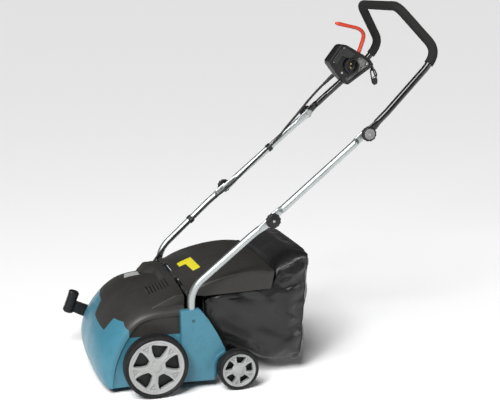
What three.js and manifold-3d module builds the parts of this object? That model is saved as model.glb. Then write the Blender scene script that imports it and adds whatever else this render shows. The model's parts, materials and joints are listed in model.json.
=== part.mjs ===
// An electric lawn dethatcher: a wheeled housing with a belt-driven tine reel, a motor under a hood,
// a collection bag behind a sprung flap, and a twice-folding handle with its switch and cable.
// Millimetres. X runs from the machine's front to the operator, Y to its right, Z up.
import * as THREE from "three";
import { mergeVertices } from "three/addons/utils/BufferGeometryUtils.js";
import Module from "manifold-3d";

const wasm = await Module();
wasm.setup();

// ---- Driving dimensions (X is counted from the front axle) ----
const originX = 302.05; // the frame's origin, below the middle of the whole machine
const gap = 0.3; // between pieces that touch

const frontWheel = { x: 0, radius: 84, rim: 73, inner: 230, outer: 268, sides: 24 };
const rearWheel = { x: 219, radius: 54, rim: 45.5, inner: 232, outer: 268, sides: 24 };

const wall = 3; // moulded shells
const halfBody = 205.5; // outside of the housing's side walls
const roundness = 2.2; // how squarely the body turns from its sides to its middle
const bodyRearX = 88;
const deckZ = 140;
const hoodHemZ = 149;

const panel = { inner: 206, outer: 228, skin: 2.5 };
const tube = { radius: 9.5, bore: 8.4, sides: 10 };
const tubeFootY = 215.5; // middle of the lower tubes where they stand in the side panels
const tubeY = 235; // middle of the tubes at both folding joints
const lowerPivot = { x: 314, z: 448 };
const upperPivot = { x: 574, z: 664 };
const lapLength = 38; // flattened tube end, from the joint's bolt to the round tube

const depthPivot = { x: 18, z: 88, radius: 8 };
const stubRadius = 6;
const leverY = { inner: 215, outer: 227 };

const motor = { x: 32, z: 188, radius: 41 };
const rotor = { x: 95, z: 72, radius: 10, tipRadius: 61 };
const pulley = { small: 14, large: 30, y0: -190, y1: -178 };

const flapHinge = { x: 101, z: 250, rod: 3, knuckle: 6.2 };
const flapHalf = 185;
const bag = { mouthX: 150, cloth: 2 };

const cable = { radius: 3.5 };
const boxSplitY = 212;
const leverPivot = { x: 720, z: 831, radius: 4 };

// ---- Solids ----
const { lerp } = THREE.MathUtils;
const at = (x, y, z) => new THREE.Vector3(x, y, z);
const mirror = (list) => list.map((p) => at(p.x, -p.y, p.z)).reverse();

// A closed three.js geometry as a solid with its faces outwards.
function solidOf(geometry) {
  const bare = geometry.clone();
  bare.deleteAttribute("normal");
  bare.deleteAttribute("uv");
  const merged = mergeVertices(bare, 1e-4);
  const vertProperties = merged.attributes.position.array;
  const triVerts = new Uint32Array(merged.index.array);
  const build = () => new wasm.Manifold(new wasm.Mesh({ numProp: 3, vertProperties, triVerts }));
  const solid = build();
  if (solid.volume() >= 0) return solid;
  for (let i = 0; i < triVerts.length; i += 3) {
    [triVerts[i + 1], triVerts[i + 2]] = [triVerts[i + 2], triVerts[i + 1]];
  }
  return build();
}

function geometryOf(solid) {
  const mesh = solid.getMesh();
  const indexed = new THREE.BufferGeometry();
  indexed.setAttribute("position", new THREE.BufferAttribute(mesh.vertProperties.slice(), 3));
  indexed.setIndex(new THREE.BufferAttribute(mesh.triVerts.slice(), 1));
  const geometry = indexed.toNonIndexed();
  geometry.computeVertexNormals();
  return geometry;
}

const joined = (solids) => solids.reduce((sum, next) => sum.add(next));
const cutFrom = (solid, cutters) => cutters.reduce((left, cutter) => left.subtract(cutter), solid);

function block(x0, x1, y0, y1, z0, z1) {
  const geometry = new THREE.BoxGeometry(x1 - x0, y1 - y0, z1 - z0);
  geometry.translate((x0 + x1) / 2, (y0 + y1) / 2, (z0 + z1) / 2);
  return solidOf(geometry);
}

// A round bar along Y.
function rodY(radius, y0, y1, x, z, sides = 16) {
  const geometry = new THREE.CylinderGeometry(radius, radius, y1 - y0, sides);
  geometry.translate(x, (y0 + y1) / 2, z);
  return solidOf(geometry);
}

const shapeOf = (outline) => new THREE.Shape(outline.map(([a, b]) => new THREE.Vector2(a, b)));
const extruded = (outline, depth) =>
  new THREE.ExtrudeGeometry(shapeOf(outline), { depth, bevelEnabled: false });

// An outline in X and Z, thick along Y.
function slabY(outline, y0, y1) {
  const geometry = extruded(outline, y1 - y0);
  geometry.rotateX(Math.PI / 2);
  geometry.translate(0, y1, 0);
  return solidOf(geometry);
}

// An outline in Y and Z, thick along X.
function slabX(outline, x0, x1) {
  const geometry = extruded(outline, x1 - x0);
  geometry.applyMatrix4(new THREE.Matrix4().makeBasis(at(0, 1, 0), at(0, 0, 1), at(1, 0, 0)));
  geometry.translate(x0, 0, 0);
  return solidOf(geometry);
}

// A solid of revolution about an axis along Y, from a closed profile of [radius, y].
// Its facets are turned so that one lies flat at the bottom.
function turned(profile, x, z, sides) {
  const across = 1 / Math.cos(Math.PI / sides);
  const points = profile.map(([r, y]) => new THREE.Vector2(r * across, y));
  if (profile[0][0] > 0) points.push(points[0].clone());
  const geometry = new THREE.LatheGeometry(points, sides, Math.PI / sides);
  geometry.translate(x, 0, z);
  return solidOf(geometry);
}

// A solid skinned over rings of equal length; flat gives a ring's points in its own plane.
function loft(rings, flat) {
  const count = rings[0].length;
  const positions = rings.flat().flatMap((p) => [p.x, p.y, p.z]);
  const faces = [];
  for (let r = 0; r + 1 < rings.length; r++) {
    for (let i = 0; i < count; i++) {
      const a = r * count + i;
      const b = r * count + ((i + 1) % count);
      faces.push(a, b, b + count, a, b + count, a + count);
    }
  }
  // The end caps: the first is wound against its ring, the last along it.
  for (const [ring, along] of [[0, false], [rings.length - 1, true]]) {
    const outline = rings[ring].map(flat);
    const windsAlong = THREE.ShapeUtils.area(outline) > 0;
    for (const [a, b, c] of THREE.ShapeUtils.triangulateShape(outline, [])) {
      const turns = THREE.ShapeUtils.area([outline[a], outline[b], outline[c]]) > 0;
      const [i, j, k] = (turns === windsAlong) === along ? [a, b, c] : [a, c, b];
      faces.push(ring * count + i, ring * count + j, ring * count + k);
    }
  }
  const geometry = new THREE.BufferGeometry();
  geometry.setAttribute("position", new THREE.Float32BufferAttribute(positions, 3));
  geometry.setIndex(faces);
  return solidOf(geometry);
}

// A path whose cross-sections stand exactly at its stations.
class Route extends THREE.Curve {
  constructor(stations) {
    super();
    this.stations = stations;
  }
  getPoint(t, target = new THREE.Vector3()) {
    const s = t * (this.stations.length - 1);
    const i = Math.min(Math.floor(s), this.stations.length - 2);
    return target.lerpVectors(this.stations[i], this.stations[i + 1], s - i);
  }
  getPointAt(u, target) {
    return this.getPoint(u, target);
  }
  getTangentAt(u, target = new THREE.Vector3()) {
    const last = this.stations.length - 1;
    const i = Math.round(u * last);
    const direction = (k) => this.stations[k + 1].clone().sub(this.stations[k]).normalize();
    return target.addVectors(direction(Math.max(i - 1, 0)), direction(Math.min(i, last - 1))).normalize();
  }
}

// Stations along straight stretches whose corners are rounded off; trims[i] is how far before and
// after inner corner i the bend starts and ends.
function rounded(corners, trims) {
  const stations = [corners[0]];
  for (let i = 1; i + 1 < corners.length; i++) {
    const corner = corners[i];
    const toward = (other) => corner.clone().add(other.clone().sub(corner).setLength(trims[i - 1]));
    const bend = new THREE.QuadraticBezierCurve3(toward(corners[i - 1]), corner, toward(corners[i + 1]));
    const turn = Math.PI - corner.clone().sub(bend.v0).angleTo(corner.clone().sub(bend.v2));
    stations.push(...bend.getPoints(Math.max(1, Math.round(turn / 0.3))));
  }
  stations.push(corners.at(-1));
  return stations;
}

function circle(radius, sides) {
  const turn = (i) => (2 * Math.PI * i) / sides;
  return Array.from({ length: sides }, (_, i) => [radius * Math.cos(turn(i)), radius * Math.sin(turn(i))]);
}

// A bar or, with a bore, a pipe along stations.
function pipe(stations, radius, bore = 0, sides = tube.sides, boreSides = 6) {
  const section = shapeOf(circle(radius, sides));
  if (bore > 0) section.holes.push(shapeOf(circle(bore, boreSides)));
  const steps = stations.length - 1;
  const extrudePath = new Route(stations);
  return solidOf(new THREE.ExtrudeGeometry(section, { steps, bevelEnabled: false, extrudePath }));
}

// An outline moved inwards by a thickness, corner by corner.
function inset(outline, thickness) {
  const count = outline.length;
  const hand = Math.sign(THREE.ShapeUtils.area(shapeOf(outline).getPoints()));
  const normal = (a, b) => new THREE.Vector2(hand * (a[1] - b[1]), hand * (b[0] - a[0])).normalize();
  return outline.map((p, i) => {
    const before = normal(outline[(i + count - 1) % count], p);
    const after = normal(p, outline[(i + 1) % count]);
    const side = before.clone().add(after).normalize();
    const reach = thickness / Math.max(side.dot(after), 0.5);
    return [p[0] + side.x * reach, p[1] + side.y * reach];
  });
}

// ---- The object ----
const root = new THREE.Group();
const machine = new THREE.Group();
machine.position.x = -originX;
root.add(machine);

const finish = (color, roughness, metalness = 0) =>
  new THREE.MeshStandardMaterial({ color, roughness, metalness });
const blue = finish(0x4d94a8, 0.4);
const charcoal = finish(0x3a3937, 0.5);
const black = finish(0x1c1c1c, 0.55);
const silver = finish(0xc4c8c8, 0.3, 0.9);
const rimGrey = finish(0xb9bbba, 0.4, 0.3);
const rubber = finish(0x202020, 0.8);
const cloth = finish(0x151515, 0.6);
const foam = finish(0x2a2a29, 0.9);
const steel = finish(0x8d9093, 0.35, 0.9);
const red = finish(0xd8442c, 0.4);
const brass = finish(0xb08d45, 0.35, 0.9);

function add(name, solid, material) {
  const mesh = new THREE.Mesh(geometryOf(solid), material);
  mesh.name = name;
  machine.add(mesh);
}

// ---- Body: apron and hood are cut from one domed shell ----
// Side view of the body at its middle and at its side walls, from the front lip over the top to the rear.
const middleOutline = [
  [-139, 22], [-150, 54], [-153, 88], [-145, 122], [-128, 153], [-104, 182], [-74, 207], [-38, 226],
  [10, 238], [bodyRearX, 242], [bodyRearX, 20],
];
const sideOutline = [
  [-107, 15], [-104, 40], [-98, 72], [-89, 98], [-76, 126], [-60, 152], [-44, 174], [-22, 190],
  [20, 198], [bodyRearX, 199], [bodyRearX, 20],
];
const bodyShares = [-1, -0.98, -0.93, -0.84, -0.69, -0.4, 0, 0.4, 0.69, 0.84, 0.93, 0.98, 1];

function bodySolid(thickness) {
  const half = halfBody - thickness;
  const inwards = (outline) => {
    if (!thickness) return outline;
    const moved = inset(outline, thickness);
    moved[0][1] = moved[moved.length - 1][1] = -30; // the shell is open below
    return moved;
  };
  const [middle, side] = [inwards(middleOutline), inwards(sideOutline)];
  const rings = bodyShares.map((share) => {
    const weight = Math.pow(1 - Math.pow(Math.abs(share), roundness), 1 / roundness) || 0;
    return middle.map(([x, z], i) =>
      at(lerp(side[i][0], x, weight), share * half, lerp(side[i][1], z, weight)));
  });
  return loft(rings, (p) => new THREE.Vector2(p.x, p.z));
}

// The raised cap across the hood's rear.
function capSolid(thickness) {
  const sideView = [[40, 215], [bodyRearX + 3, 215], [bodyRearX + 3, 256], [72, 258], [58, 252], [44, 238]];
  const rearView = [[-183, 190], [183, 190], [183, 240], [170, 248], [100, 255], [0, 258], [-100, 255],
    [-170, 248], [-183, 240]];
  const depth = 184 - thickness;
  const across = slabX(inset(rearView, thickness), 0, 120);
  return slabY(inset(sideView, thickness), -depth, depth).intersect(across);
}

// Where the hood covers the body: in the front view above a border whose tongue stands beside a slot,
// and behind the wheel arch's front down to the hem.
const hoodBorder = [[-210, 166], [-178, 186], [-130, 184], [-137, 153], [-13, 161], [30, 187], [178, 186],
  [210, 166]];
const hoodHemFront = -60;
const vents = { x: 15, pitch: 8, count: 8, width: 3.5, rows: [[-82, -48], [-42, -8]] };

const envelope = bodySolid(0);
const hollow = bodySolid(wall);
const hoodRegion = slabX([...hoodBorder, [210, 300], [-210, 300]], -200, 120).add(
  block(hoodHemFront, 120, -210, 210, hoodHemZ, 200));

function motorHood() {
  const shell = envelope.add(capSolid(0)).subtract(hollow).subtract(capSolid(wall));
  const slots = vents.rows.flatMap(([y0, y1]) => Array.from({ length: vents.count }, (_, i) => {
    const x = vents.x + i * vents.pitch;
    return block(x, x + vents.width, y0, y1, 215, 262);
  }));
  const cableHole = rodY(cable.radius + 1.5, 170, 190, 80, 236, 12);
  return cutFrom(shell.intersect(hoodRegion), [...slots, cableHole]);
}

function mirrored(solid) {
  return solid.mirror([0, 1, 0]);
}

function chassisHousing() {
  const shifts = [[0, gap, -gap], [0, -gap, -gap], [-gap, 0, -gap], [gap, 0, -gap]];
  const hoodSpace = joined(shifts.map((shift) => hoodRegion.translate(shift)));
  const apron = envelope.subtract(hollow).subtract(hoodSpace).subtract(block(-160, 120, -300, 300, 260, 400));
  const deck = block(-125, bodyRearX, -210, 210, deckZ, deckZ + wall).intersect(envelope);
  const rearWall = slabY(
    [[60, 20], [176, 20], [190, 95], [166, 160], [136, 214], [110, 214], [108, 257], [94, 257], [94, 214],
      [93, 146], [60, 146]], halfBody - wall, halfBody);
  const axleArm = slabY([[150, 30], [225, 41], [234, 54], [225, 67], [150, 100]], 196, halfBody);
  const rearLip = block(164, 169, -halfBody, halfBody, 48, 66);
  const sides = [rearWall, axleArm];
  const whole = joined([apron, deck, rearLip, ...sides, ...sides.map(mirrored)]);
  return cutFrom(whole, [
    rodY(depthPivot.radius + gap, -250, 250, depthPivot.x, depthPivot.z),
    rodY(stubRadius + gap, -250, 250, rearWheel.x, rearWheel.radius),
    rodY(flapHinge.rod + gap, -250, 250, flapHinge.x, flapHinge.z, 12),
    block(bodyRearX - 10, bodyRearX + 1, -halfBody + wall, halfBody - wall, -10, deckZ),
    block(4, bodyRearX + 1, -196, -172, deckZ - 5, hoodHemZ + 1),
  ]);
}

const panelOutline = [
  [73, 22], [163, 20], [168, 62], [176, 84], [190, 98], [168, 162], [138, 216], [73, 219],
];

function sidePanel() {
  const pan = slabY(panelOutline, panel.inner, panel.outer);
  const inside = slabY(inset(panelOutline, panel.skin), panel.inner - 1, panel.outer - panel.skin);
  const tubeHole = new THREE.CylinderGeometry(tube.radius + gap, tube.radius + gap, 60, 16);
  tubeHole.rotateX(Math.PI / 2);
  tubeHole.translate(103, tubeFootY, 210);
  return cutFrom(pan, [inside, solidOf(tubeHole)]);
}

add("chassis_housing", chassisHousing(), blue);
add("right_side_panel", sidePanel(), blue);
add("left_side_panel", mirrored(sidePanel()), blue);
add("motor_hood", motorHood(), charcoal);

// ---- Drive: motor, belt and tine reel ----
function motorBody() {
  const can = rodY(motor.radius, -70, 80, motor.x, motor.z, 20);
  const nose = rodY(24, -84, 94, motor.x, motor.z, 16);
  const feet = [-50, 60].map((y) =>
    block(motor.x - 34, motor.x + 34, y - 8, y + 8, deckZ + wall + gap, motor.z));
  return joined([can, nose, ...feet]).subtract(rodY(6.3, -90, 80, motor.x, motor.z, 16));
}

function motorPulley() {
  const shaft = rodY(6, -192, 70, motor.x, motor.z, 16);
  const wheel = rodY(pulley.small, pulley.y0, pulley.y1, motor.x, motor.z, 24);
  return joined([shaft, wheel, rodY(17, pulley.y1 + gap, pulley.y1 + 2, motor.x, motor.z, 24)]);
}

// The loop around both pulleys: two arcs joined by the outer tangents.
function beltLoop(extra) {
  const [dx, dz] = [motor.x - rotor.x, motor.z - rotor.z];
  const toward = Math.atan2(dz, dx);
  const lean = Math.acos((pulley.large - pulley.small) / Math.hypot(dx, dz));
  const arc = (centre, radius, from, to) => Array.from({ length: 11 }, (_, i) => {
    const turn = from + ((to - from) * i) / 10;
    return [centre.x + (radius + extra) * Math.cos(turn), centre.z + (radius + extra) * Math.sin(turn)];
  });
  return [
    ...arc(rotor, pulley.large, toward + lean, toward + 2 * Math.PI - lean),
    ...arc(motor, pulley.small, toward - lean, toward + lean),
  ];
}

function driveBelt() {
  const [y0, y1] = [pulley.y0 + 1, pulley.y1 - 1];
  return slabY(beltLoop(3.2), y0, y1).subtract(slabY(beltLoop(0.7), y0 - 1, y1 + 1));
}

function tineReel() {
  const core = rodY(19, -168, 172, rotor.x, rotor.z, 16);
  const blades = Array.from({ length: 14 }, (_, i) => {
    const geometry = new THREE.BoxGeometry(13, 2.4, 2 * rotor.tipRadius);
    geometry.rotateY((i % 4) * (Math.PI / 4));
    geometry.translate(rotor.x, -156 + i * 24, rotor.z);
    return solidOf(geometry);
  });
  return joined([core, ...blades]).subtract(rodY(rotor.radius + gap, -170, 175, rotor.x, rotor.z, 16));
}

function bearing(y0, y1) {
  const ring = rodY(20, y0, y1, rotor.x, rotor.z, 20);
  return ring.subtract(rodY(rotor.radius + gap, y0 - 1, y1 + 1, rotor.x, rotor.z, 16));
}

const largePulley = rodY(pulley.large, pulley.y0, pulley.y1, rotor.x, rotor.z, 28);
const pulleyBore = rodY(rotor.radius + gap, -195, -170, rotor.x, rotor.z, 16);
add("motor_body", motorBody(), steel);
add("motor_pulley", motorPulley(), steel);
add("drive_belt", driveBelt(), rubber);
add("driven_pulley", largePulley.subtract(pulleyBore), steel);
add("rotor_shaft", rodY(rotor.radius, -200, 200, rotor.x, rotor.z, 16), steel);
add("tine_reel", tineReel(), steel);
add("left_rotor_bearing", bearing(-202.2, -191), steel);
add("right_rotor_bearing", bearing(191, 202.2), steel);

// ---- Wheels, axles and the depth lever ----
function tyre(wheel) {
  const [r, rim, a, b] = [wheel.radius, wheel.rim + gap, wheel.inner, wheel.outer];
  const section = [[rim, a + 2], [r - 6, a], [r, a + 6], [r, b - 6], [r - 6, b], [rim, b - 3]];
  return turned(section, wheel.x, wheel.radius, wheel.sides);
}

function rim(wheel) {
  const { x, radius: z, rim: r, inner, outer, sides } = wheel;
  const face = outer - 4;
  const dish = [[0, inner + 4], [13, inner + 4], [13, face - 9], [r - 5, face - 9], [r - 5, inner + 3],
    [r, inner + 3], [r, face], [12, face - 2], [10, face + 1], [0, face + 1]];
  const spread = [0.24, 0.33, 0.26];
  const reach = [0.35, 0.79, 0.84];
  const windows = Array.from({ length: 5 }, (_, i) => {
    const middle = (2 * Math.PI * (i + 0.12)) / 5;
    const corner = (side) => reach.map((share, k) => {
      const turn = middle + side * spread[k];
      return [x + r * share * Math.cos(turn), z + r * share * Math.sin(turn)];
    });
    return slabY([...corner(-1), ...corner(1).reverse()], face - 20, face + 5);
  });
  const bore = rodY(stubRadius + gap, inner - 1, face - 6, x, z, 16);
  return cutFrom(turned(dish, x, z, sides), [...windows, bore]);
}

for (const [place, wheel] of [["front", frontWheel], ["rear", rearWheel]]) {
  add(`right_${place}_tyre`, tyre(wheel), rubber);
  add(`left_${place}_tyre`, mirrored(tyre(wheel)), rubber);
  add(`right_${place}_rim`, rim(wheel), rimGrey);
  add(`left_${place}_rim`, mirrored(rim(wheel)), rimGrey);
}

const wheelSeat = frontWheel.outer - 11; // the stub axles end inside the hubs
const rearAxle = rodY(stubRadius, -wheelSeat, wheelSeat, rearWheel.x, rearWheel.radius, 16);

// The cross shaft turns in the housing; its cranks carry the front wheels' stub axles.
function depthAxle() {
  const shaft = rodY(depthPivot.radius, -213, 213, depthPivot.x, depthPivot.z, 20);
  const crank = slabY([[-9, 74], [24, 78], [28, 88], [22, 98], [-4, 94], [-10, 84]], 207, 213);
  const stub = rodY(stubRadius, 210, wheelSeat, frontWheel.x, frontWheel.radius, 16);
  return joined([shaft, crank, stub, mirrored(crank), mirrored(stub)]);
}

function depthLever() {
  const outline = [[30, 82], [30, 96], [14, 103], [-20, 98], [-78, 92], [-104, 112], [-143, 130], [-156, 103],
    [-118, 79], [-92, 60], [-76, 56], [-14, 72], [12, 72]];
  const arm = slabY(outline, leverY.inner, leverY.outer);
  const stubHole = rodY(stubRadius + gap, 200, 240, frontWheel.x, frontWheel.radius, 16);
  return cutFrom(arm, [stubHole]);
}

// A rounded bar across the lever's end.
function leverGrip() {
  const along = at(-25, 0, -67).normalize();
  const middle = at(-162, (leverY.inner + leverY.outer) / 2, 132);
  const ends = [-34, -31, -24, 24, 31, 34];
  const sizes = [6, 12, 15.5, 15.5, 12, 6];
  const across = at(0, 1, 0);
  const out = along.clone().cross(across);
  const rings = ends.map((s, k) => circle(sizes[k], 12).map(([a, b]) =>
    middle.clone().addScaledVector(along, s).addScaledVector(across, a).addScaledVector(out, b)));
  const frame = (p) => new THREE.Vector2(p.y, p.clone().sub(middle).dot(out));
  return loft(rings, frame).subtract(depthLever().translate([-0.3, 0, 0]).add(depthLever()));
}

add("rear_axle", rearAxle, steel);
add("depth_axle", depthAxle(), steel);
add("depth_lever_arm", depthLever(), black);
add("depth_lever_grip", leverGrip(), black);

// ---- Rear flap ----
const flapTop = [[340, 295], [290, 300], [240, 297], [200, 290], [160, 279], [130, 268], [107, 255]];

function rearFlap() {
  const outer = [[145, 240], [340, 246], ...flapTop, [107, 248]];
  const inner = [[100, 230], [350, 230], [350, 292.4], [340, 292.5], ...inset(outer, 2.5).slice(3, -2),
    [110, 252], [110, 249]];
  const cover = slabY(outer, -flapHalf, flapHalf).subtract(slabY(inner, 2.5 - flapHalf, flapHalf - 2.5));
  const knuckles = [[-184, -120], [-30, 30], [120, 184]].map(([y0, y1]) =>
    rodY(flapHinge.knuckle, y0, y1, flapHinge.x, flapHinge.z, 14));
  return joined([cover, ...knuckles]).subtract(
    rodY(flapHinge.rod + gap, -190, 190, flapHinge.x, flapHinge.z, 12));
}

function flapSpring() {
  const coil = rodY(6, 186, 195, flapHinge.x, flapHinge.z, 14);
  return coil.subtract(rodY(flapHinge.rod + gap, 180, 200, flapHinge.x, flapHinge.z, 12));
}

add("rear_flap", rearFlap(), charcoal);
add("flap_hinge_rod", rodY(flapHinge.rod, -204, 204, flapHinge.x, flapHinge.z, 12), steel);
add("flap_spring", flapSpring(), steel);

// ---- Collection bag: [x, half width, bottom, top at the sides, crown] ----
const bagSections = [
  [bag.mouthX, 174, 120, 228, 4], [180, 176, 104, 246, 5], [215, 178, 87, 262, 5], [260, 179, 65, 274, 4],
  [305, 180, 43, 278, 2], [342, 180, 38, 278, 1], [346, 180, 37, 298, 6], [395, 180, 33, 316, 9],
  [420, 179, 33, 326, 11], [428, 177, 90, 330, 11], [435, 174, 180, 330, 10], [440, 168, 250, 326, 8],
];

function bagSolid(thickness) {
  const corners = [[-1, 0.1], [-0.94, 0], [0.94, 0], [1, 0.1], [1, 0.9], [0.95, 0.98], [0.5, 1], [0, 1],
    [-0.5, 1], [-0.95, 0.98], [-1, 0.9]];
  const rings = bagSections.map(([x, half, low, high, crown], i) => {
    const end = i === 0 ? -10 : i === bagSections.length - 1 ? -thickness : 0;
    const [width, floor, roof] = [half - thickness, low + thickness, high - thickness];
    return corners.map(([side, up]) => {
      const rise = up === 1 ? crown * (1 - side * side) : 0;
      return at(x + (thickness ? end : 0), side * width, floor + (roof - floor) * up + rise);
    });
  });
  return loft(rings, (p) => new THREE.Vector2(p.y, p.z));
}

function bagFrame() {
  const [x, half, low, high] = [bag.mouthX - 5, 170, 125, 224];
  const corners = [at(x, 0, low), at(x, half, low), at(x, half, high), at(x, -half, high), at(x, -half, low),
    at(x, -1, low)];
  return pipe(rounded(corners, [12, 12, 12, 12]), 3, 0, 6);
}

add("collection_bag", bagSolid(0).subtract(bagSolid(bag.cloth)), cloth);
add("bag_frame", bagFrame(), steel);

// ---- Handle: lower and middle tubes, upper handle, joints ----
const slope = (from, to) => at(to.x - from.x, 0, to.z - from.z).normalize();
const middleRun = slope(lowerPivot, upperPivot);

// A tube's flattened end: a plate from the joint's bolt back to the round tube, on one half of the
// tube's thickness; side is +1 for the outer half.
function lapPlate(pivot, direction, side, y = tubeY) {
  const across = at(-direction.z, 0, direction.x);
  const point = (s, w) =>
    [pivot.x + direction.x * s + across.x * w, pivot.z + direction.z * s + across.z * w];
  const nose = Array.from({ length: 7 }, (_, i) => {
    const turn = Math.PI / 2 + (Math.PI * i) / 6;
    return point(11 * Math.cos(turn), 11 * Math.sin(turn));
  });
  const outline = [...nose, point(lapLength, -9), point(lapLength + 6, -7), point(lapLength + 6, 7),
    point(lapLength, 9)];
  const [y0, y1] = side > 0 ? [y + 0.3, y + 8.5] : [y - 8.5, y - 0.3];
  return slabY(outline, y0, y1).subtract(rodY(4.4, y - 20, y + 20, pivot.x, pivot.z, 10));
}

const awayFrom = (pivot, direction, distance, y = tubeY) =>
  at(pivot.x + direction.x * distance, y, pivot.z + direction.z * distance);

const lowerTop = awayFrom(lowerPivot, at(-0.795, 0, -0.606), lapLength);
const lowerRoute = rounded(
  [at(103, tubeFootY, 110), at(103, tubeFootY, 271), at(262, 233, 408.5), lowerTop], [38, 10]);
const middleRoute = [awayFrom(lowerPivot, middleRun, lapLength), awayFrom(upperPivot, middleRun, -lapLength)];
const upperRun = at(0.735, 0, 0.678);
const upperFoot = awayFrom(upperPivot, upperRun, lapLength);
const upperLeg = [upperFoot, at(630, 233, 715), at(757, 204, 832), at(786, 196, 874), at(698, 131, 989)];
const upperCorners = [...upperLeg, ...mirror(upperLeg)];
const upperTrims = [8, 18, 34, 26, 26, 34, 18, 8];
const upperRoute = rounded(upperCorners, upperTrims);
const foamStart = upperRoute.findIndex((p) => p.z > 836);
const foamRoute = upperRoute.slice(foamStart, -foamStart);

const lowerTube = pipe(lowerRoute, tube.radius, tube.bore).add(
  lapPlate(lowerPivot, at(-0.795, 0, -0.606), 1));
const middleTube = joined([
  pipe(middleRoute, tube.radius, tube.bore),
  lapPlate(lowerPivot, middleRun, -1),
  lapPlate(upperPivot, middleRun.clone().negate(), -1),
]);
const upperLap = lapPlate(upperPivot, upperRun, 1);
const upperHandle = joined([pipe(upperRoute, tube.radius, tube.bore), upperLap, mirrored(upperLap)]);

add("right_lower_tube", lowerTube, silver);
add("left_lower_tube", mirrored(lowerTube), silver);
add("right_middle_tube", middleTube, silver);
add("left_middle_tube", mirrored(middleTube), silver);
add("upper_handle_tube", upperHandle, black);
add("foam_grip", pipe(foamRoute, 12.7, 10.4, tube.sides, tube.sides), foam);

// A clamp bolt with its head inboard, and the round knob that screws onto it from outboard.
function clampBolt(pivot) {
  const head = rodY(8, tubeY - 13.5, tubeY - 8.8, pivot.x, pivot.z, 6);
  return head.add(rodY(4, tubeY - 9, tubeY + 19, pivot.x, pivot.z, 10));
}

function clampKnob(pivot) {
  const lobed = circle(1, 24).map(([a, b], i) => {
    const reach = i % 2 ? 20 : 18.3;
    return [pivot.x + reach * a, pivot.z + reach * b];
  });
  const grip = slabY(lobed, tubeY + 12, tubeY + 24);
  const face = rodY(15, tubeY + 20, tubeY + 26, pivot.x, pivot.z, 20);
  const collar = rodY(10, tubeY + 8.8, tubeY + 13, pivot.x, pivot.z, 16);
  return joined([grip, face, collar]).subtract(rodY(4.4, tubeY, tubeY + 20, pivot.x, pivot.z, 10));
}

for (const [place, pivot] of [["lower", lowerPivot], ["upper", upperPivot]]) {
  add(`right_${place}_clamp_bolt`, clampBolt(pivot), steel);
  add(`left_${place}_clamp_bolt`, mirrored(clampBolt(pivot)), steel);
  add(`right_${place}_clamp_knob`, clampKnob(pivot), black);
  add(`left_${place}_clamp_knob`, mirrored(clampKnob(pivot)), black);
}

// ---- Switch box, clamped round the handle's right leg ----
const boxOutline = [
  [683, 748], [768, 806], [757, 823], [734, 838], [676, 870], [660, 869], [624, 822], [626, 812], [655, 775],
];

function boxHalf(y0, y1, side) {
  const [skinY0, skinY1] = side > 0 ? [y0 - 1, y1 - wall] : [y0 + wall, y1 + 1];
  const pocket = slabY(inset(boxOutline, wall), skinY0, skinY1);
  const saddle = pipe(upperRoute, tube.radius + 4).intersect(slabY(boxOutline, y0, y1));
  const channel = pipe(upperRoute, tube.radius + 2 * gap);
  const leverSlot = block(700, 752, boxSplitY - 8, boxSplitY + 8, 815, 880);
  const entry = slabY([[640, 764], [652, 790], [640, 796], [628, 772]], 193.5, 206.5);
  return cutFrom(slabY(boxOutline, y0, y1).subtract(pocket).add(saddle), [channel, leverSlot, entry]);
}

// The mains inlet is a round well in the box's inner face, with its pins inside.
const inlet = { x: 694, z: 806, radius: 17, y0: 184, y1: 200 };

function inletWell() {
  const cup = rodY(inlet.radius + 2, inlet.y0, inlet.y1, inlet.x, inlet.z, 24);
  return cup.subtract(rodY(inlet.radius, inlet.y0 - 1, inlet.y1 - 2.5, inlet.x, inlet.z, 24));
}

const inletHole = rodY(inlet.radius + 2 + gap, 180, 205, inlet.x, inlet.z, 24);
const innerHalf = boxHalf(187, boxSplitY - 0.2, -1).subtract(inletHole);
const outerHalf = boxHalf(boxSplitY + 0.2, 237, 1).subtract(rodY(6.4, 230, 240, 660, 842, 16));
add("switch_box_inner", innerHalf, black);
add("switch_box_outer", outerHalf, black);
add("inlet_well", inletWell(), charcoal);
const pins = [-6, 6].map((dz) => rodY(2.2, inlet.y1 - 9, inlet.y1 - 2.8, inlet.x, inlet.z + dz, 10));
add("inlet_pins", joined([...pins, block(inlet.x - 3, inlet.x + 3, inlet.y1 - 5, inlet.y1 - 2.8, inlet.z - 8,
  inlet.z + 8)]), brass);

// The hooked switch lever, pivoted inside the box.
function switchLever() {
  const route = new THREE.CatmullRomCurve3([at(720, boxSplitY, 831), at(733, boxSplitY, 862),
    at(741, boxSplitY, 895), at(727, boxSplitY, 914), at(690, boxSplitY, 924), at(650, boxSplitY, 933)]);
  const boss = rodY(8, boxSplitY - 6, boxSplitY + 6, leverPivot.x, leverPivot.z, 16);
  return pipe(route.getSpacedPoints(12), 6.5, 0, 8).add(boss).subtract(
    rodY(leverPivot.radius + gap, 180, 240, leverPivot.x, leverPivot.z, 14));
}

add("switch_lever", switchLever(), red);
add("lever_pivot_pin", rodY(leverPivot.radius, 190.3, 233.7, leverPivot.x, leverPivot.z, 14), steel);
add("lock_off_button", rodY(6, 222, 241, 660, 842, 16), red);
add("microswitch", block(668, 690, 206, 216, 826, 840), charcoal);

// The cord hook hangs from the box's rear end as a long closed loop.
function cordHook() {
  const outline = [[769.5, 806], [775, 800], [777, 786], [789, 760], [788, 748], [778, 744], [771, 752],
    [764, 786]];
  const ring = slabY(outline, 207, 213);
  return ring.subtract(slabY(inset(outline, 3.4), 200, 220));
}

add("cord_hook", cordHook(), black);

// ---- Cable from the switch box to the hood, clipped inboard of the right tubes ----
const relief = { from: at(641, 200, 779), to: at(612, 201, 753) };

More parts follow.
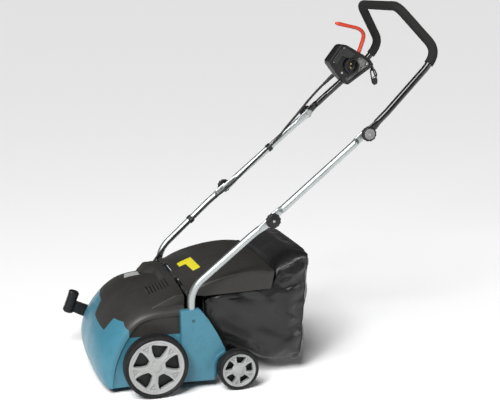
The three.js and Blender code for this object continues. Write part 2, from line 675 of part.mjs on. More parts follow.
function strainRelief() {
  const along = relief.to.clone().sub(relief.from);
  const length = along.length();
  const outline = [[0, 0], [6, 0], [6, 6], [4.8, length], [0, length]];
  const geometry = new THREE.LatheGeometry(outline.map(([r, y]) => new THREE.Vector2(r, y)), 14);
  geometry.applyQuaternion(new THREE.Quaternion().setFromUnitVectors(at(0, 1, 0), along.clone().normalize()));
  geometry.translate(relief.from.x, relief.from.y, relief.from.z);
  return solidOf(geometry);
}

const cableParts = {
  cable_upper: [at(611.6, 201.2, 752.6), at(597, 204, 738), at(580, 208, 719), at(566, 212, 702)],
  cable_middle: [at(549, 215, 681), at(530, 217, 658), at(500, 218, 624), at(470, 219, 588),
    at(447, 220, 566), at(420, 221, 541), at(380, 220, 506), at(345, 217, 474), at(323, 215, 456)],
  cable_lower: [at(304, 215, 441), at(285, 216, 427), at(255, 215, 404), at(202, 208, 360), at(160, 202, 325),
    at(128, 199, 296), at(104, 197, 268), at(90, 197, 251), at(82, 195, 240), at(80, 189, 236.3),
    at(80, 184, 236), at(80, 178, 236)],
};
for (const [name, points] of Object.entries(cableParts)) {
  const curve = new THREE.CatmullRomCurve3(points);
  add(name, pipe(curve.getSpacedPoints(Math.ceil(curve.getLength() / 18)), cable.radius, 0, 8), black);
}
add("strain_relief", strainRelief(), black);

// A strap round the tube and the cable beside it; run is the tube's direction there.
function cableClip(tubePoint, cablePoint, run) {
  const sleeve = (centre, half, radius, sides) =>
    pipe([-half, half].map((s) => centre.clone().addScaledVector(run, s)), radius, 0, sides);
  const strap = joined([
    sleeve(tubePoint, 7, tube.radius + 2.6, 12),
    sleeve(cablePoint, 7, cable.radius + 3, 8),
    pipe([tubePoint, cablePoint], 5, 0, 8),
  ]);
  return cutFrom(strap, [sleeve(tubePoint, 20, tube.radius + 0.8, 12),
    sleeve(cablePoint, 20, cable.radius + 0.9, 8)]);
}

const lowerRun = at(0.753, 0.083, 0.652).normalize();
add("upper_cable_clip", cableClip(at(450.7, tubeY, 561.6), at(447, 220, 566), middleRun), black);
add("lower_cable_clip", cableClip(at(202, 226.4, 356.6), at(202, 208, 360), lowerRun), black);

root.updateMatrixWorld(true);
export default root;
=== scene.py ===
"""The looks of an electric lawn dethatcher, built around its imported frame."""
import json
import math

import bmesh
import bpy
import numpy as np
from mathutils import Matrix, Vector, noise


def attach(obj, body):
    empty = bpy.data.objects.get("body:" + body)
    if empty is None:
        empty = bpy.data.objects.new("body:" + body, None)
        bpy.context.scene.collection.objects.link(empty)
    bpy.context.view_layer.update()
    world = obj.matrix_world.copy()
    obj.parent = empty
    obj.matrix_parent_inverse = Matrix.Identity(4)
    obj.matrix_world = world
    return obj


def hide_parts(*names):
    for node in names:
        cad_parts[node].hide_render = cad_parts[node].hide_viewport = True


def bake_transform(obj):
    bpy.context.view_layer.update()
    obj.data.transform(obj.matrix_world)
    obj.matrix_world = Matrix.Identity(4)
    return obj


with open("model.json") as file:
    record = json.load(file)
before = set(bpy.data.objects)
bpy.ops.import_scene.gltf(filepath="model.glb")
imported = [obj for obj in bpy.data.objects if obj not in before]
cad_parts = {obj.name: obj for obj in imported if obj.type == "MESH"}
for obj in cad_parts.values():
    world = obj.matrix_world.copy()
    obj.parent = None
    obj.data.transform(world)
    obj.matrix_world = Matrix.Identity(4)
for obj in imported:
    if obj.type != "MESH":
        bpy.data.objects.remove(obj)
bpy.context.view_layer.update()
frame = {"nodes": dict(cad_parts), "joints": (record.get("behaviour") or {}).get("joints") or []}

JOINTS = {joint["name"]: joint for joint in frame["joints"]}
AXLE_X = JOINTS["right_front_wheel_spin"]["pos_m"][0]
MM = 0.001


def at(x, y, z):
    """A frame point from millimetres, with X counted from the front axle."""
    return Vector((AXLE_X + x * MM, y * MM, z * MM))


def joint_mm(name):
    """A hinge's place as (x, z) in millimetres, with X counted from the front axle."""
    place = JOINTS[name]["pos_m"]
    return (place[0] - AXLE_X) / MM, place[2] / MM


LOWER_PIVOT = joint_mm("handle_lower_fold")
UPPER_PIVOT = joint_mm("handle_upper_fold")
FLAP_HINGE = joint_mm("flap_lift")
HALF_BODY = 205.5
BODY_REAR = 88
TUBE_Y = 235
TUBE_R = 9.5


def linked(name, data):
    """A new object in the scene."""
    made = bpy.data.objects.new(name, data)
    bpy.context.collection.objects.link(made)
    return made


def aim(made, direction):
    """Turns a camera or lamp to look along a direction."""
    made.rotation_euler = Vector(direction).to_track_quat("-Z", "Y").to_euler()


def set_inputs(node, values):
    """Sets a node's inputs by name."""
    for key, value in values.items():
        node.inputs[key].default_value = value


# ---- Camera, floor and light ----
CAMERA_PLACE = (AXLE_X - 0.472, -2.780, 1.0455)
CAMERA_YAW = 15.97  # degrees from the machine's near side towards its rear
CAMERA_PITCH = 11.59  # degrees downwards
CAMERA_LENS = 75.6
SENSOR_WIDTH = 36
FLOOR_SIZE = 200
FLOOR_DROP = 0.0005
FLOOR_COLOUR = (0.93, 0.93, 0.93, 1)
FLOOR_ROUGHNESS = 0.9
SKY_ABOVE = 0.5  # the sky is white at the horizon and dimmer overhead
SUN_DIRECTION = (0.42, 0.5, -0.9)
SUN_ENERGY = 3.3
SUN_SOFTNESS = 35
# Name, place, target, size and energy.
LAMPS = (
    ("key", (-1.9, -2.4, 2.2), (-0.2, 0, 0.2), 0.9, 60),
    ("fill", (2.6, -1.8, 1.3), (0.1, 0, 0.3), 1.2, 22),
)


def camera():
    data = bpy.data.cameras.new("camera")
    data.lens = CAMERA_LENS
    data.sensor_width = SENSOR_WIDTH
    made = linked("camera", data)
    made.location = CAMERA_PLACE
    yaw, pitch = math.radians(CAMERA_YAW), math.radians(CAMERA_PITCH)
    aim(made, (math.sin(yaw) * math.cos(pitch), math.cos(yaw) * math.cos(pitch), -math.sin(pitch)))
    bpy.context.scene.camera = made


def floor():
    bpy.ops.mesh.primitive_plane_add(size=FLOOR_SIZE, location=(0, 0, -FLOOR_DROP))
    made = bpy.context.object
    made.name = "floor"
    paint = bpy.data.materials.new("floor_paint")
    paint.use_nodes = True
    set_inputs(paint.node_tree.nodes["Principled BSDF"],
               {"Base Color": FLOOR_COLOUR, "Roughness": FLOOR_ROUGHNESS})
    made.data.materials.append(paint)


def sky():
    world = bpy.data.worlds.new("sky")
    world.use_nodes = True
    nodes, links = world.node_tree.nodes, world.node_tree.links
    direction = nodes.new("ShaderNodeTexCoord").outputs["Generated"]
    split = nodes.new("ShaderNodeSeparateXYZ")
    height = nodes.new("ShaderNodeMapRange")
    set_inputs(height, {"From Min": 0.05, "From Max": 0.2, "To Min": 1.0, "To Max": SKY_ABOVE})
    links.new(direction, split.inputs["Vector"])
    links.new(split.outputs["Z"], height.inputs["Value"])
    links.new(height.outputs["Result"], nodes["Background"].inputs["Strength"])
    bpy.context.scene.world = world
    bpy.context.scene.view_settings.view_transform = "Standard"


def lights():
    data = bpy.data.lights.new("sun", "SUN")
    data.energy = SUN_ENERGY
    data.angle = math.radians(SUN_SOFTNESS)
    aim(linked("sun", data), SUN_DIRECTION)
    for name, place, target, size, energy in LAMPS:
        data = bpy.data.lights.new(name, "AREA")
        data.shape = "DISK"
        data.size = size
        data.energy = energy
        lamp = linked(name, data)
        lamp.location = place
        aim(lamp, Vector(target) - Vector(place))


camera()
floor()
sky()
lights()


# ---- Materials ----
COAT_ROUGHNESS = 0.12
PLASTIC_SPECULAR = 0.35


class Look:
    """A principled material whose nodes are added one by one."""

    def __init__(self, name, colour, roughness, metallic=0.0, coat=0.0, specular=0.5):
        self.material = bpy.data.materials.new(name)
        self.material.use_nodes = True
        self.tree = self.material.node_tree
        self.shader = self.tree.nodes["Principled BSDF"]
        self.colour = colour
        set_inputs(self.shader, {"Base Color": (*colour, 1), "Roughness": roughness, "Metallic": metallic,
                                 "Coat Weight": coat, "Coat Roughness": COAT_ROUGHNESS,
                                 "Specular IOR Level": specular})
        self.place = self.node("ShaderNodeTexCoord").outputs["Object"]
        self.height = None

    def node(self, kind, **settings):
        made = self.tree.nodes.new(kind)
        for key, value in settings.items():
            setattr(made, key, value)
        return made

    def link(self, source, target):
        self.tree.links.new(source, target)

    def noise(self, scale, detail, stretch=None):
        """A noise over the piece, drawn out along an axis by the stretch."""
        texture = self.node("ShaderNodeTexNoise")
        set_inputs(texture, {"Scale": scale, "Detail": detail})
        source = self.place
        if stretch:
            mapping = self.node("ShaderNodeMapping")
            set_inputs(mapping, {"Scale": stretch})
            self.link(self.place, mapping.inputs["Vector"])
            source = mapping.outputs["Vector"]
        self.link(source, texture.inputs["Vector"])
        return texture.outputs["Fac"]

    def bands(self, scale, direction):
        """Threads across one direction."""
        wave = self.node("ShaderNodeTexWave", wave_type="BANDS", bands_direction=direction)
        set_inputs(wave, {"Scale": scale})
        self.link(self.place, wave.inputs["Vector"])
        return wave.outputs["Fac"]

    def spread(self, source, low, high, start=0.3, end=0.7):
        """A source's range from start to end, mapped to low and high."""
        ramp = self.node("ShaderNodeMapRange")
        set_inputs(ramp, {"From Min": start, "From Max": end, "To Min": low, "To Max": high})
        self.link(source, ramp.inputs["Value"])
        return ramp.outputs["Result"]

    def tint(self, source, other, low, high):
        """Mixes towards another colour where the source is high."""
        mix = self.node("ShaderNodeMix", data_type="RGBA")
        current = self.shader.inputs["Base Color"]
        if current.is_linked:
            self.link(current.links[0].from_socket, mix.inputs[6])
        else:
            mix.inputs[6].default_value = (*self.colour, 1)
        mix.inputs[7].default_value = (*other, 1)
        self.link(self.spread(source, 0, 1, low, high), mix.inputs[0])
        self.link(mix.outputs[2], current)

    def vary_roughness(self, source, low, high):
        self.link(self.spread(source, low, high), self.shader.inputs["Roughness"])

    def bump(self, source, strength, distance):
        """Adds a relief on top of the ones before it."""
        bump = self.node("ShaderNodeBump")
        set_inputs(bump, {"Strength": strength, "Distance": distance})
        self.link(source, bump.inputs["Height"])
        if self.height:
            self.link(self.height, bump.inputs["Normal"])
        self.height = bump.outputs["Normal"]
        self.link(self.height, self.shader.inputs["Normal"])


def shade(colour, factor):
    return tuple(factor * c for c in colour)


def moulded(name, colour, roughness, light, grain=1400, depth=0.00006, coat=0.0):
    """Moulded or painted plastic: mottled, finely grained and lighter along its exposed edges."""
    look = Look(name, colour, roughness, coat=coat, specular=PLASTIC_SPECULAR)
    look.tint(look.noise(5, 4), light, 0.35, 0.8)
    look.tint(look.noise(60, 5), shade(colour, 0.86), 0.5, 0.9)
    look.vary_roughness(look.noise(18, 5), roughness - 0.05, roughness + 0.08)
    look.bump(look.noise(grain, 2), 0.35, depth)
    look.tint(look.node("ShaderNodeNewGeometry").outputs["Pointiness"], light, 0.53, 0.66)
    return look.material


def metal(name, colour, roughness, stretch=(1, 1, 1)):
    """Drawn or plated metal, with fine marks along the stretch."""
    look = Look(name, colour, roughness, metallic=1.0)
    look.tint(look.noise(12, 4), shade(colour, 0.82), 0.45, 0.85)
    look.vary_roughness(look.noise(240, 4, stretch), roughness - 0.06, roughness + 0.1)
    look.bump(look.noise(700, 3, stretch), 0.15, 0.00004)
    return look.material


def bag_fabric():
    """Coated woven cloth with small creases, a thread relief and a faint sheen."""
    look = Look("coated_bag_cloth", (0.005, 0.005, 0.0053), 0.32)
    look.tint(look.noise(9, 5), (0.012, 0.012, 0.0125), 0.45, 0.85)
    look.vary_roughness(look.noise(26, 6), 0.26, 0.42)
    weave = look.bands(230, "X")
    for direction in "ZY":
        total = look.node("ShaderNodeMath", operation="ADD")
        look.link(weave, total.inputs[0])
        look.link(look.bands(230, direction), total.inputs[1])
        weave = total.outputs[0]
    look.bump(look.noise(38, 6), 0.5, 0.0022)
    look.bump(weave, 0.22, 0.00012)
    set_inputs(look.shader, {"Sheen Weight": 0.12, "Sheen Roughness": 0.4})
    return look.material


def foam_look():
    look = Look("foam_skin", (0.014, 0.014, 0.0135), 0.85, specular=0.15)
    look.tint(look.noise(700, 4), (0.028, 0.0275, 0.027), 0.4, 0.8)
    look.bump(look.noise(900, 5), 0.7, 0.0004)
    look.bump(look.noise(60, 3), 0.25, 0.0005)
    return look.material


def rubber_look(name, colour, roughness):
    look = Look(name, colour, roughness, specular=0.22)
    look.tint(look.noise(40, 5), shade(colour, 2.2), 0.45, 0.85)
    look.vary_roughness(look.noise(90, 4), roughness - 0.1, roughness + 0.15)
    look.bump(look.noise(600, 4), 0.4, 0.00015)
    return look.material


BLUE = moulded("blue_shell", (0.043, 0.165, 0.228), 0.35, (0.060, 0.206, 0.275), coat=0.15)
CHARCOAL = moulded("charcoal_shell", (0.026, 0.025, 0.0235), 0.46, (0.040, 0.038, 0.036), 1100, 0.00012)
BLACK = moulded("black_plastic", (0.006, 0.006, 0.0065), 0.40, (0.016, 0.016, 0.017))
DARK_GREY = moulded("dark_grey_plastic", (0.02, 0.02, 0.02), 0.5, (0.035, 0.035, 0.035))
RIM_GREY = moulded("silver_plastic", (0.29, 0.295, 0.29), 0.30, (0.40, 0.405, 0.40), 900, 0.00003, 0.3)
MID_GREY = moulded("mid_grey_plastic", (0.16, 0.16, 0.155), 0.45, (0.25, 0.25, 0.24))
RED = moulded("red_plastic", (0.55, 0.045, 0.018), 0.3, (0.68, 0.10, 0.05), coat=0.2)
SILVER_TUBE = metal("satin_tube", (0.52, 0.55, 0.55), 0.42, (1, 1, 6))
STEEL = metal("zinc_steel", (0.5, 0.51, 0.52), 0.3)
BRASS = metal("brass_pins_metal", (0.75, 0.56, 0.26), 0.25)
BLACK_TUBE = moulded("black_tube_paint", (0.008,) * 3, 0.12, (0.016,) * 3, 500, 0.00001, 0.6)
CLOTH = bag_fabric()
FOAM = foam_look()
TYRE = rubber_look("tyre_compound", (0.009, 0.009, 0.0095), 0.62)
CABLE = rubber_look("cable_sheath", (0.012, 0.012, 0.012), 0.45)
YELLOW = moulded("yellow_film", (0.66, 0.58, 0.015), 0.4, (0.74, 0.66, 0.05))
SILVER_FILM = moulded("silver_film", (0.40, 0.41, 0.40), 0.35, (0.48, 0.49, 0.48), 700, 0.00001, 0.2)


# ---- Mesh making ----
def smoothed(mesh, sharp):
    """Shades a mesh smooth apart from edges sharper than an angle."""
    for polygon in mesh.polygons:
        polygon.use_smooth = True
    mesh.set_sharp_from_angle(angle=math.radians(sharp))


def tidy(made, sharp):
    """Merges touching points, turns the normals outwards and smooths."""
    work = bmesh.new()
    work.from_mesh(made.data)
    bmesh.ops.remove_doubles(work, verts=work.verts, dist=1e-6)
    bmesh.ops.dissolve_degenerate(work, edges=work.edges, dist=1e-7)
    bmesh.ops.recalc_face_normals(work, faces=work.faces)
    work.to_mesh(made.data)
    work.free()
    smoothed(made.data, sharp)


def piece(name, verts, faces, material, sharp=35):
    """A mesh object with outward normals."""
    mesh = bpy.data.meshes.new(name)
    mesh.from_pydata([tuple(v) for v in verts], [], faces)
    made = linked(name, mesh)
    tidy(made, sharp)
    mesh.materials.append(material)
    return made


def evaluated(made):
    """An object's shape with its modifiers, as a new mesh."""
    graph = bpy.context.evaluated_depsgraph_get()
    return bpy.data.meshes.new_from_object(made.evaluated_get(graph))


def baked(made, sharp):
    """Applies every modifier on an object."""
    old = made.data
    mesh = evaluated(made)
    made.modifiers.clear()
    made.data = mesh
    if old.users == 0:
        bpy.data.meshes.remove(old)
    smoothed(mesh, sharp)
    return made


def thickened(made, thickness):
    """Gives an open surface a wall behind it, in millimetres."""
    wall = made.modifiers.new("wall", "SOLIDIFY")
    wall.thickness = thickness * MM
    wall.offset = -1
    return made


def eased(made, width, segments, angle=30):
    """Rounds the edges sharper than an angle, over a width in millimetres."""
    edge = made.modifiers.new("edges", "BEVEL")
    edge.width = width * MM
    edge.segments = segments
    edge.limit_method = "ANGLE"
    edge.angle_limit = math.radians(angle)
    return made


def joined(name, parts):
    """Several objects as one, under a name."""
    work = bmesh.new()
    materials = []
    for part in parts:
        start = len(work.faces)
        work.from_mesh(part.data)
        work.faces.ensure_lookup_table()
        slots = []
        for material in part.data.materials:
            if material not in materials:
                materials.append(material)
            slots.append(materials.index(material))
        for face in work.faces[start:]:
            face.material_index = slots[face.material_index]
    mesh = bpy.data.meshes.new(name)
    work.to_mesh(mesh)
    work.free()
    for material in materials:
        mesh.materials.append(material)
    for part in parts:
        bpy.data.objects.remove(part)
    return linked(name, mesh)


def skin(rings, closed_ends=True, around=True):
    """Vertices and faces over rings of equal length."""
    count = len(rings[0])
    verts = [p for ring in rings for p in ring]
    faces = []
    for r in range(len(rings) - 1):
        for i in range(count if around else count - 1):
            a, b = r * count + i, r * count + (i + 1) % count
            faces.append((a, b, b + count, a + count))
    if closed_ends:
        faces.append(tuple(range(count)))
        faces.append(tuple(range(len(verts) - count, len(verts))))
    return verts, faces


def sheet(name, rows, material, sharp=40):
    """An open surface over rows of points."""
    return piece(name, *skin(rows, closed_ends=False, around=False), material, sharp)


def curve_point(points, i, t):
    """The point at a share t between points i and i + 1 of a smooth line."""
    last = len(points) - 1
    p0, p1, p2, p3 = (points[min(max(k, 0), last)] for k in (i - 1, i, i + 1, i + 2))
    return 0.5 * (2 * p1 + (p2 - p0) * t + (2 * p0 - 5 * p1 + 4 * p2 - p3) * t * t
                  + (3 * p1 - p0 - 3 * p2 + p3) * t ** 3)


def catmull(points, per=8):
    """A smooth line through points."""
    spans = len(points) - 1
    return [curve_point(points, i, k / per) for i in range(spans) for k in range(per)] + [points[-1]]


def rounded_corner(before, corner, after, trim, per):
    """Points that cut a corner off in a curve, from a trim before it to a trim behind it."""
    start = corner + (before - corner).normalized() * trim
    end = corner + (after - corner).normalized() * trim
    shares = [k / per for k in range(per + 1)]
    return [start * (1 - t) ** 2 + corner * 2 * t * (1 - t) + end * t * t for t in shares]


def bent(corners, trims, per):
    """Straight stretches whose corners are rounded off over the trims, in millimetres."""
    line = [corners[0]]
    for before, corner, after, trim in zip(corners, corners[1:], corners[2:], trims):
        line += rounded_corner(before, corner, after, trim * MM, per)
    return line + [corners[-1]]


def rounded_outline(corners, radius, per=5):
    """A closed outline whose corners are rounded off."""
    line = []
    points = [Vector(corner) for corner in corners]
    for before, here, after in zip(points[-1:] + points, points, points[1:] + points[:1]):
        trim = min(radius, 0.45 * (before - here).length, 0.45 * (after - here).length)
        line += [tuple(point) for point in rounded_corner(before, here, after, trim, per)]
    return line


def length_mm(line):
    return sum((b - a).length for a, b in zip(line, line[1:])) / MM


def frames(line):
    """(point, side, up) along a line, carried without twisting."""
    result = []
    side = None
    for i, point in enumerate(line):
        tangent = (line[min(i + 1, len(line) - 1)] - line[max(i - 1, 0)]).normalized()
        if side is None:
            side = tangent.cross(Vector((0, 1, 0)))
            if side.length < 0.1:
                side = tangent.cross(Vector((1, 0, 0)))
        side = (side - tangent * side.dot(tangent)).normalized()
        result.append((point, side, tangent.cross(side)))
    return result


def sweep(name, line, size, material, sides=28, sharp=50):
    """A bar along a line; size gives (half width, half height, roundness) in mm at a share of the line."""
    rings = []
    last = len(line) - 1
    for i, (point, side, up) in enumerate(frames(line)):
        a, b, power = size(i / last)
        ring = []
        for k in range(sides):
            c, s = math.cos(2 * math.pi * k / sides), math.sin(2 * math.pi * k / sides)
            c, s = math.copysign(abs(c) ** power, c), math.copysign(abs(s) ** power, s)
            ring.append(point + side * (a * MM * c) + up * (b * MM * s))
        rings.append(ring)
    return piece(name, *skin(rings), material, sharp)


def even(line, step):
    """A line's points re-spaced evenly, a step in millimetres apart."""
    total = [0.0]
    for a, b in zip(line, line[1:]):
        total.append(total[-1] + (b - a).length)
    count = max(2, round(total[-1] / (step * MM)))
    result = []
    k = 0
    for i in range(count + 1):
        target = total[-1] * i / count
        while k < len(line) - 2 and total[k + 1] < target:
            k += 1
        span = max(total[k + 1] - total[k], 1e-9)
        result.append(line[k].lerp(line[k + 1], min(max((target - total[k]) / span, 0), 1)))
    return result


def round_bar(name, line, radius, material, sides, ends):
    """A round bar whose ends are rounded over a few millimetres."""
    length = length_mm(line)

    def size(share):
        near = min(share, 1 - share) * length
        r = radius if near >= ends else radius - ends + math.sqrt(max(ends ** 2 - (ends - near) ** 2, 0))
        return max(r, 0.05), max(r, 0.05), 1

    def cap(point, following):
        """Points close together at an end, where the bar narrows."""
        step = ends * MM / 4 / (following - point).length
        return [point.lerp(following, k * step) for k in range(4)]
    points = cap(line[0], line[1]) + line[1:-1] + cap(line[-1], line[-2])[::-1]
    return sweep(name, points, size, material, sides)


def lathe(name, profile, x, z, material, sides=96, shape=None, sharp=35):
    """A solid turned about an axis along Y from a profile of (radius, y); shape may vary its radius."""
    rings = []
    for r, y in profile:
        ring = []
        for k in range(sides):
            turn = 2 * math.pi * k / sides
            radius = shape(r, y, turn) if shape else r
            ring.append(at(x + radius * math.cos(turn), y, z + radius * math.sin(turn)))
        rings.append(ring)
    closed = profile[0] == profile[-1]
    return piece(name, *skin(rings, closed_ends=not closed), material, sharp)


def plate(name, outline, y0, y1, material, bevel=1.0, holes=(), steps=3):
    """A flat piece in X and Z, thick along Y, with holes and rounded edges. Millimetres."""
    data = bpy.data.curves.new(name, "CURVE")
    data.dimensions = "2D"
    data.fill_mode = "BOTH"
    data.extrude = ((y1 - y0) / 2 - bevel) * MM
    data.bevel_depth = bevel * MM
    data.bevel_resolution = steps
    data.offset = -bevel * MM
    for ring in (outline, *holes):
        spline = data.splines.new("POLY")
        spline.points.add(len(ring) - 1)
        for point, (x, z) in zip(spline.points, ring):
            point.co = (x * MM, z * MM, 0, 1)
        spline.use_cyclic_u = True
    source = linked(name + "_source", data)
    mesh = evaluated(source)
    bpy.data.objects.remove(source)
    mesh.transform(Matrix(((1, 0, 0, AXLE_X), (0, 0, -1, (y0 + y1) / 2 * MM), (0, 1, 0, 0), (0, 0, 0, 1))))
    mesh.name = name
    mesh.materials.clear()
    mesh.materials.append(material)
    made = linked(name, mesh)
    tidy(made, 40)
    return made


def slab(name, corners, radius, y0, y1, material, bevel=1.0, holes=(), steps=3):
    """A plate whose outline has rounded corners."""
    return plate(name, rounded_outline(corners, radius), y0, y1, material, bevel, holes, steps)


def arc(x, z, radius, start, end, count=12):
    """Outline points on an arc, angles in degrees."""
    turns = [math.radians(start + (end - start) * k / (count - 1)) for k in range(count)]
    return [(x + radius * math.cos(t), z + radius * math.sin(t)) for t in turns]


def circle(x, z, radius, count=40):
    return arc(x, z, radius, 0, 360 * (count - 1) / count, count)


def fit(made, body, slot, *nodes):
    """Puts a finished piece on its body and hides the solids it stands for; its material slot is not used."""
    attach(made, body)
    if nodes:
        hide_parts(*nodes)


def opposite(name):
    """The name of the same thing on the machine's other side."""
    return name.replace("left", "right") if "left" in name else name.replace("right", "left")


def fit_both(made, body, slot, *nodes):
    """Fits a piece, and its mirror image on the machine's other side."""
    name = opposite(made.name)
    mesh = made.data.copy()
    mesh.name = name
    mesh.transform(Matrix.Diagonal((1, -1, 1, 1)))
    mesh.flip_normals()
    fit(made, body, slot, *nodes)
    fit(linked(name, mesh), opposite(body), slot, *[opposite(node) for node in nodes])


def wave_between(low, high, value):
    """0 below low, 1 above high and smooth between them."""
    t = min(max((value - low) / (high - low), 0), 1)
    return t * t * (3 - 2 * t)


def height_on(line, x):
    """The height of a line of (x, height) points at x."""
    for (x0, z0), (x1, z1) in zip(line, line[1:]):
        if x <= x1:
            break
    return z0 + (z1 - z0) * min(max((x - x0) / (x1 - x0), 0), 1)


# ---- Body: apron and hood over one domed surface ----
# The body's outline as (x, z) along its middle and at its sides, from the front's foot to the hood's rear.
MIDDLE_OUTLINE = [(-139, 22), (-150, 54), (-153, 88), (-145, 122), (-128, 153), (-104, 182), (-74, 207),
                  (-38, 226), (10, 238), (BODY_REAR, 242)]
SIDE_OUTLINE = [(-107, 15), (-104, 40), (-98, 72), (-89, 98), (-76, 126), (-60, 152), (-44, 174), (-22, 190),
                (20, 198), (BODY_REAR, 199)]
TOP = len(MIDDLE_OUTLINE) - 1
ROUNDNESS = 2.3  # the power of the curve across the dome; 2 is an ellipse
# The hood's lower edge over the dome, as (y, z), and along the side walls.
HOOD_BORDER = [(-206, 168.5), (-178, 186), (-134, 184.5), (-133, 153.5), (-13, 161), (30, 187), (178, 186),
               (206, 168.5)]
HOOD_HEM = 149
HEM_FRONT = -60
SEAM = 0.006  # half the gap between apron and hood, counted in outline points
CREASE = 3.5  # the flat side walls lie this far inside the dome's edge
WALL_RISE = 5
DOME_TURNS = 96
WALL_SHARES = [0.02, 0.08, 0.2, 0.35, 0.5, 0.62, 0.74, 0.87, 1.0]
# More columns where the hood's border turns.
BORDER_TURNS = (-178, -136, -134.2, -133.8, -133.2, -132.8, -131, -13, 30, 178)
MIDDLE_LINE, SIDE_LINE = ([Vector(point) for point in line] for line in (MIDDLE_OUTLINE, SIDE_OUTLINE))


def on_line(line, t):
    """A smooth line's point at t, which counts its points."""
    i = min(int(t), len(line) - 2)
    return curve_point(line, i, t - i)


def dome_point(share, t):
    """(x, y, z) in millimetres on the dome, at a share of its half width."""
    weight = max(1 - abs(share) ** ROUNDNESS, 0) ** (1 / ROUNDNESS)
    flat = on_line(SIDE_LINE, t).lerp(on_line(MIDDLE_LINE, t), weight)
    return flat.x, share * HALF_BODY, flat.y


def wall_point(side, share, t):
    """(x, y, z) on a side wall, from its front edge to its rear."""
    flat = on_line(SIDE_LINE, t)
    foot = WALL_RISE * share * max(0, 1 - t)
    ledge = CREASE * wave_between(0, 0.03, share)
    return flat.x + (BODY_REAR - flat.x) * share, side * (HALF_BODY - ledge), flat.y + foot


def under_hood(x, y, z):
    return z >= height_on(HOOD_BORDER, y) or (x >= HEM_FRONT and z >= HOOD_HEM)


def columns():
    """Functions of t, from the left wall's rear round the dome to the right wall's rear."""
    turns = [math.sin(math.pi * (k / DOME_TURNS - 0.5)) for k in range(DOME_TURNS + 1)]
    shares = sorted(turns + [y / HALF_BODY for y in BORDER_TURNS])
    made = [lambda t, s=s: wall_point(-1, s, t) for s in reversed(WALL_SHARES)]
    made += [lambda t, s=s: dome_point(s, t) for s in shares]
    return made + [lambda t, s=s: wall_point(1, s, t) for s in WALL_SHARES]


def border_t(column):
    """Where a column passes below the hood."""
    high = next((k / 20 for k in range(20 * TOP + 1) if under_hood(*column(k / 20))), float(TOP))
    low = max(high - 0.05, 0)
    for _ in range(18):
        middle = (low + high) / 2
        low, high = (low, middle) if under_hood(*column(middle)) else (middle, high)
    return high


def shell(name, start, end, rows, material, thickness):
    """The dome between two heights as a moulded shell."""
    grid = []
    for column in columns():
        t0, t1 = start(column), end(column)
        grid.append([at(*column(t0 + (t1 - t0) * k / rows)) for k in range(rows + 1)])
    made = sheet(name, grid, material, 28)
    face_away(made, at(-20, 0, 110))
    return baked(thickened(made, thickness), 30)


def face_away(made, centre):
    """Turns an open surface's normals away from a point, before it is thickened."""
    if sum((p.center - centre).normalized().dot(p.normal) * p.area for p in made.data.polygons) < 0:
        made.data.flip_normals()


def both_sides(name, corners, radius, near, far, material, bevel, holes=()):
    """The same slab on both sides, between two distances from the middle."""
    return [slab(name, corners, radius, *sorted((side * near, side * far)), material, bevel, holes)
            for side in (-1, 1)]


def box_piece(name, x0, x1, half, z0, z1, bevel):
    return plate(name, [(x0, z0), (x1, z0), (x1, z1), (x0, z1)], -half, half, BLUE, bevel)


def inner_frame():
    """The deck under the motor, the walls behind it and the arms for the rear axle."""
    rear = [(62, 22), (176, 22), (186, 95), (154, 160), (114, 206), (93, 206), (93, 146), (62, 146)]
    arm = [(150, 30), (225, 41), (234, 54), (225, 67), (150, 100)]
    parts = both_sides("wall", rear, 4, 203.2, 205.8, BLUE, 0.9)
    parts += both_sides("arm", arm, 9, 196, 205, BLUE, 2, [circle(219, 54, 6.4, 24)])
    parts.append(box_piece("deck", -50, 86, 196, 140, 143, 0.6))
    parts.append(box_piece("deck", -104, -50, 138, 140, 143, 0.6))
    parts.append(box_piece("lip", 164, 169, 204, 48, 66, 1.5))
    return joined("inner_frame", parts)


def hinge_lugs():
    """The dark ears that carry the flap's hinge rod."""
    ear = [(94, 203), (112, 203), (109, 257), (94, 257)]
    return joined("flap_hinge_lugs", both_sides("ear", ear, 4, 203.2, 206.6, CHARCOAL, 0.9,
                                                [circle(*FLAP_HINGE, 3.4, 20)]))


fit(hinge_lugs(), "chassis", "charcoal_hood")
apron = shell("front_apron", lambda c: 0.0, lambda c: border_t(c) - SEAM, 40, BLUE, 2.6)
fit(apron, "chassis", "blue_housing", "chassis_housing")
fit(inner_frame(), "chassis", "blue_housing")


def roof_point(x, y):
    """The hood's surface above a place."""
    share = y / HALF_BODY
    low, high = 4.0, float(TOP)
    for _ in range(24):
        middle = (low + high) / 2
        low, high = (middle, high) if dome_point(share, middle)[0] < x else (low, middle)
    return dome_point(share, low)[2]


VENTS = 7
VENT_ENDS = (-112, -42)
VENT_START = 11
VENT_STEP = 8.6
VENT_WIDTH = 3.6
VENT_FLOOR = 0.213
# Where the cap's front face starts and ends, as (y, x) at points across the machine.
RIDGE_FOOT = [(-184, 4), (-60, 6), (-18, 57), (78, 57), (104, 30), (184, 24)]
RIDGE_LIP = [(-184, 66), (78, 66), (104, 52), (184, 46)]
RIDGE_HALF = 184
RIDGE_TOP = 258


def vent_slots():
    """Blocks that cut the vents, long across the machine."""
    slots = []
    low, high = VENT_ENDS
    for k in range(VENTS):
        x = VENT_START + VENT_STEP * k
        corners = [(low, x), (high, x), (high, x + VENT_WIDTH), (low, x + VENT_WIDTH)]
        bar = slab("slot", corners, 1.6, 0, 60, CHARCOAL, 0.01)
        turn = Matrix(((0, 0, 1, AXLE_X), (1, 0, 0, -AXLE_X), (0, 1, 0, VENT_FLOOR), (0, 0, 0, 1)))
        bar.data.transform(turn)
        slots.append(bar)
    return joined("slots", slots)


def vented(made, cutter):
    cut = made.modifiers.new("vents", "BOOLEAN")
    cut.operation = "DIFFERENCE"
    cut.solver = "EXACT"
    cut.object = cutter
    return baked(made, 30)


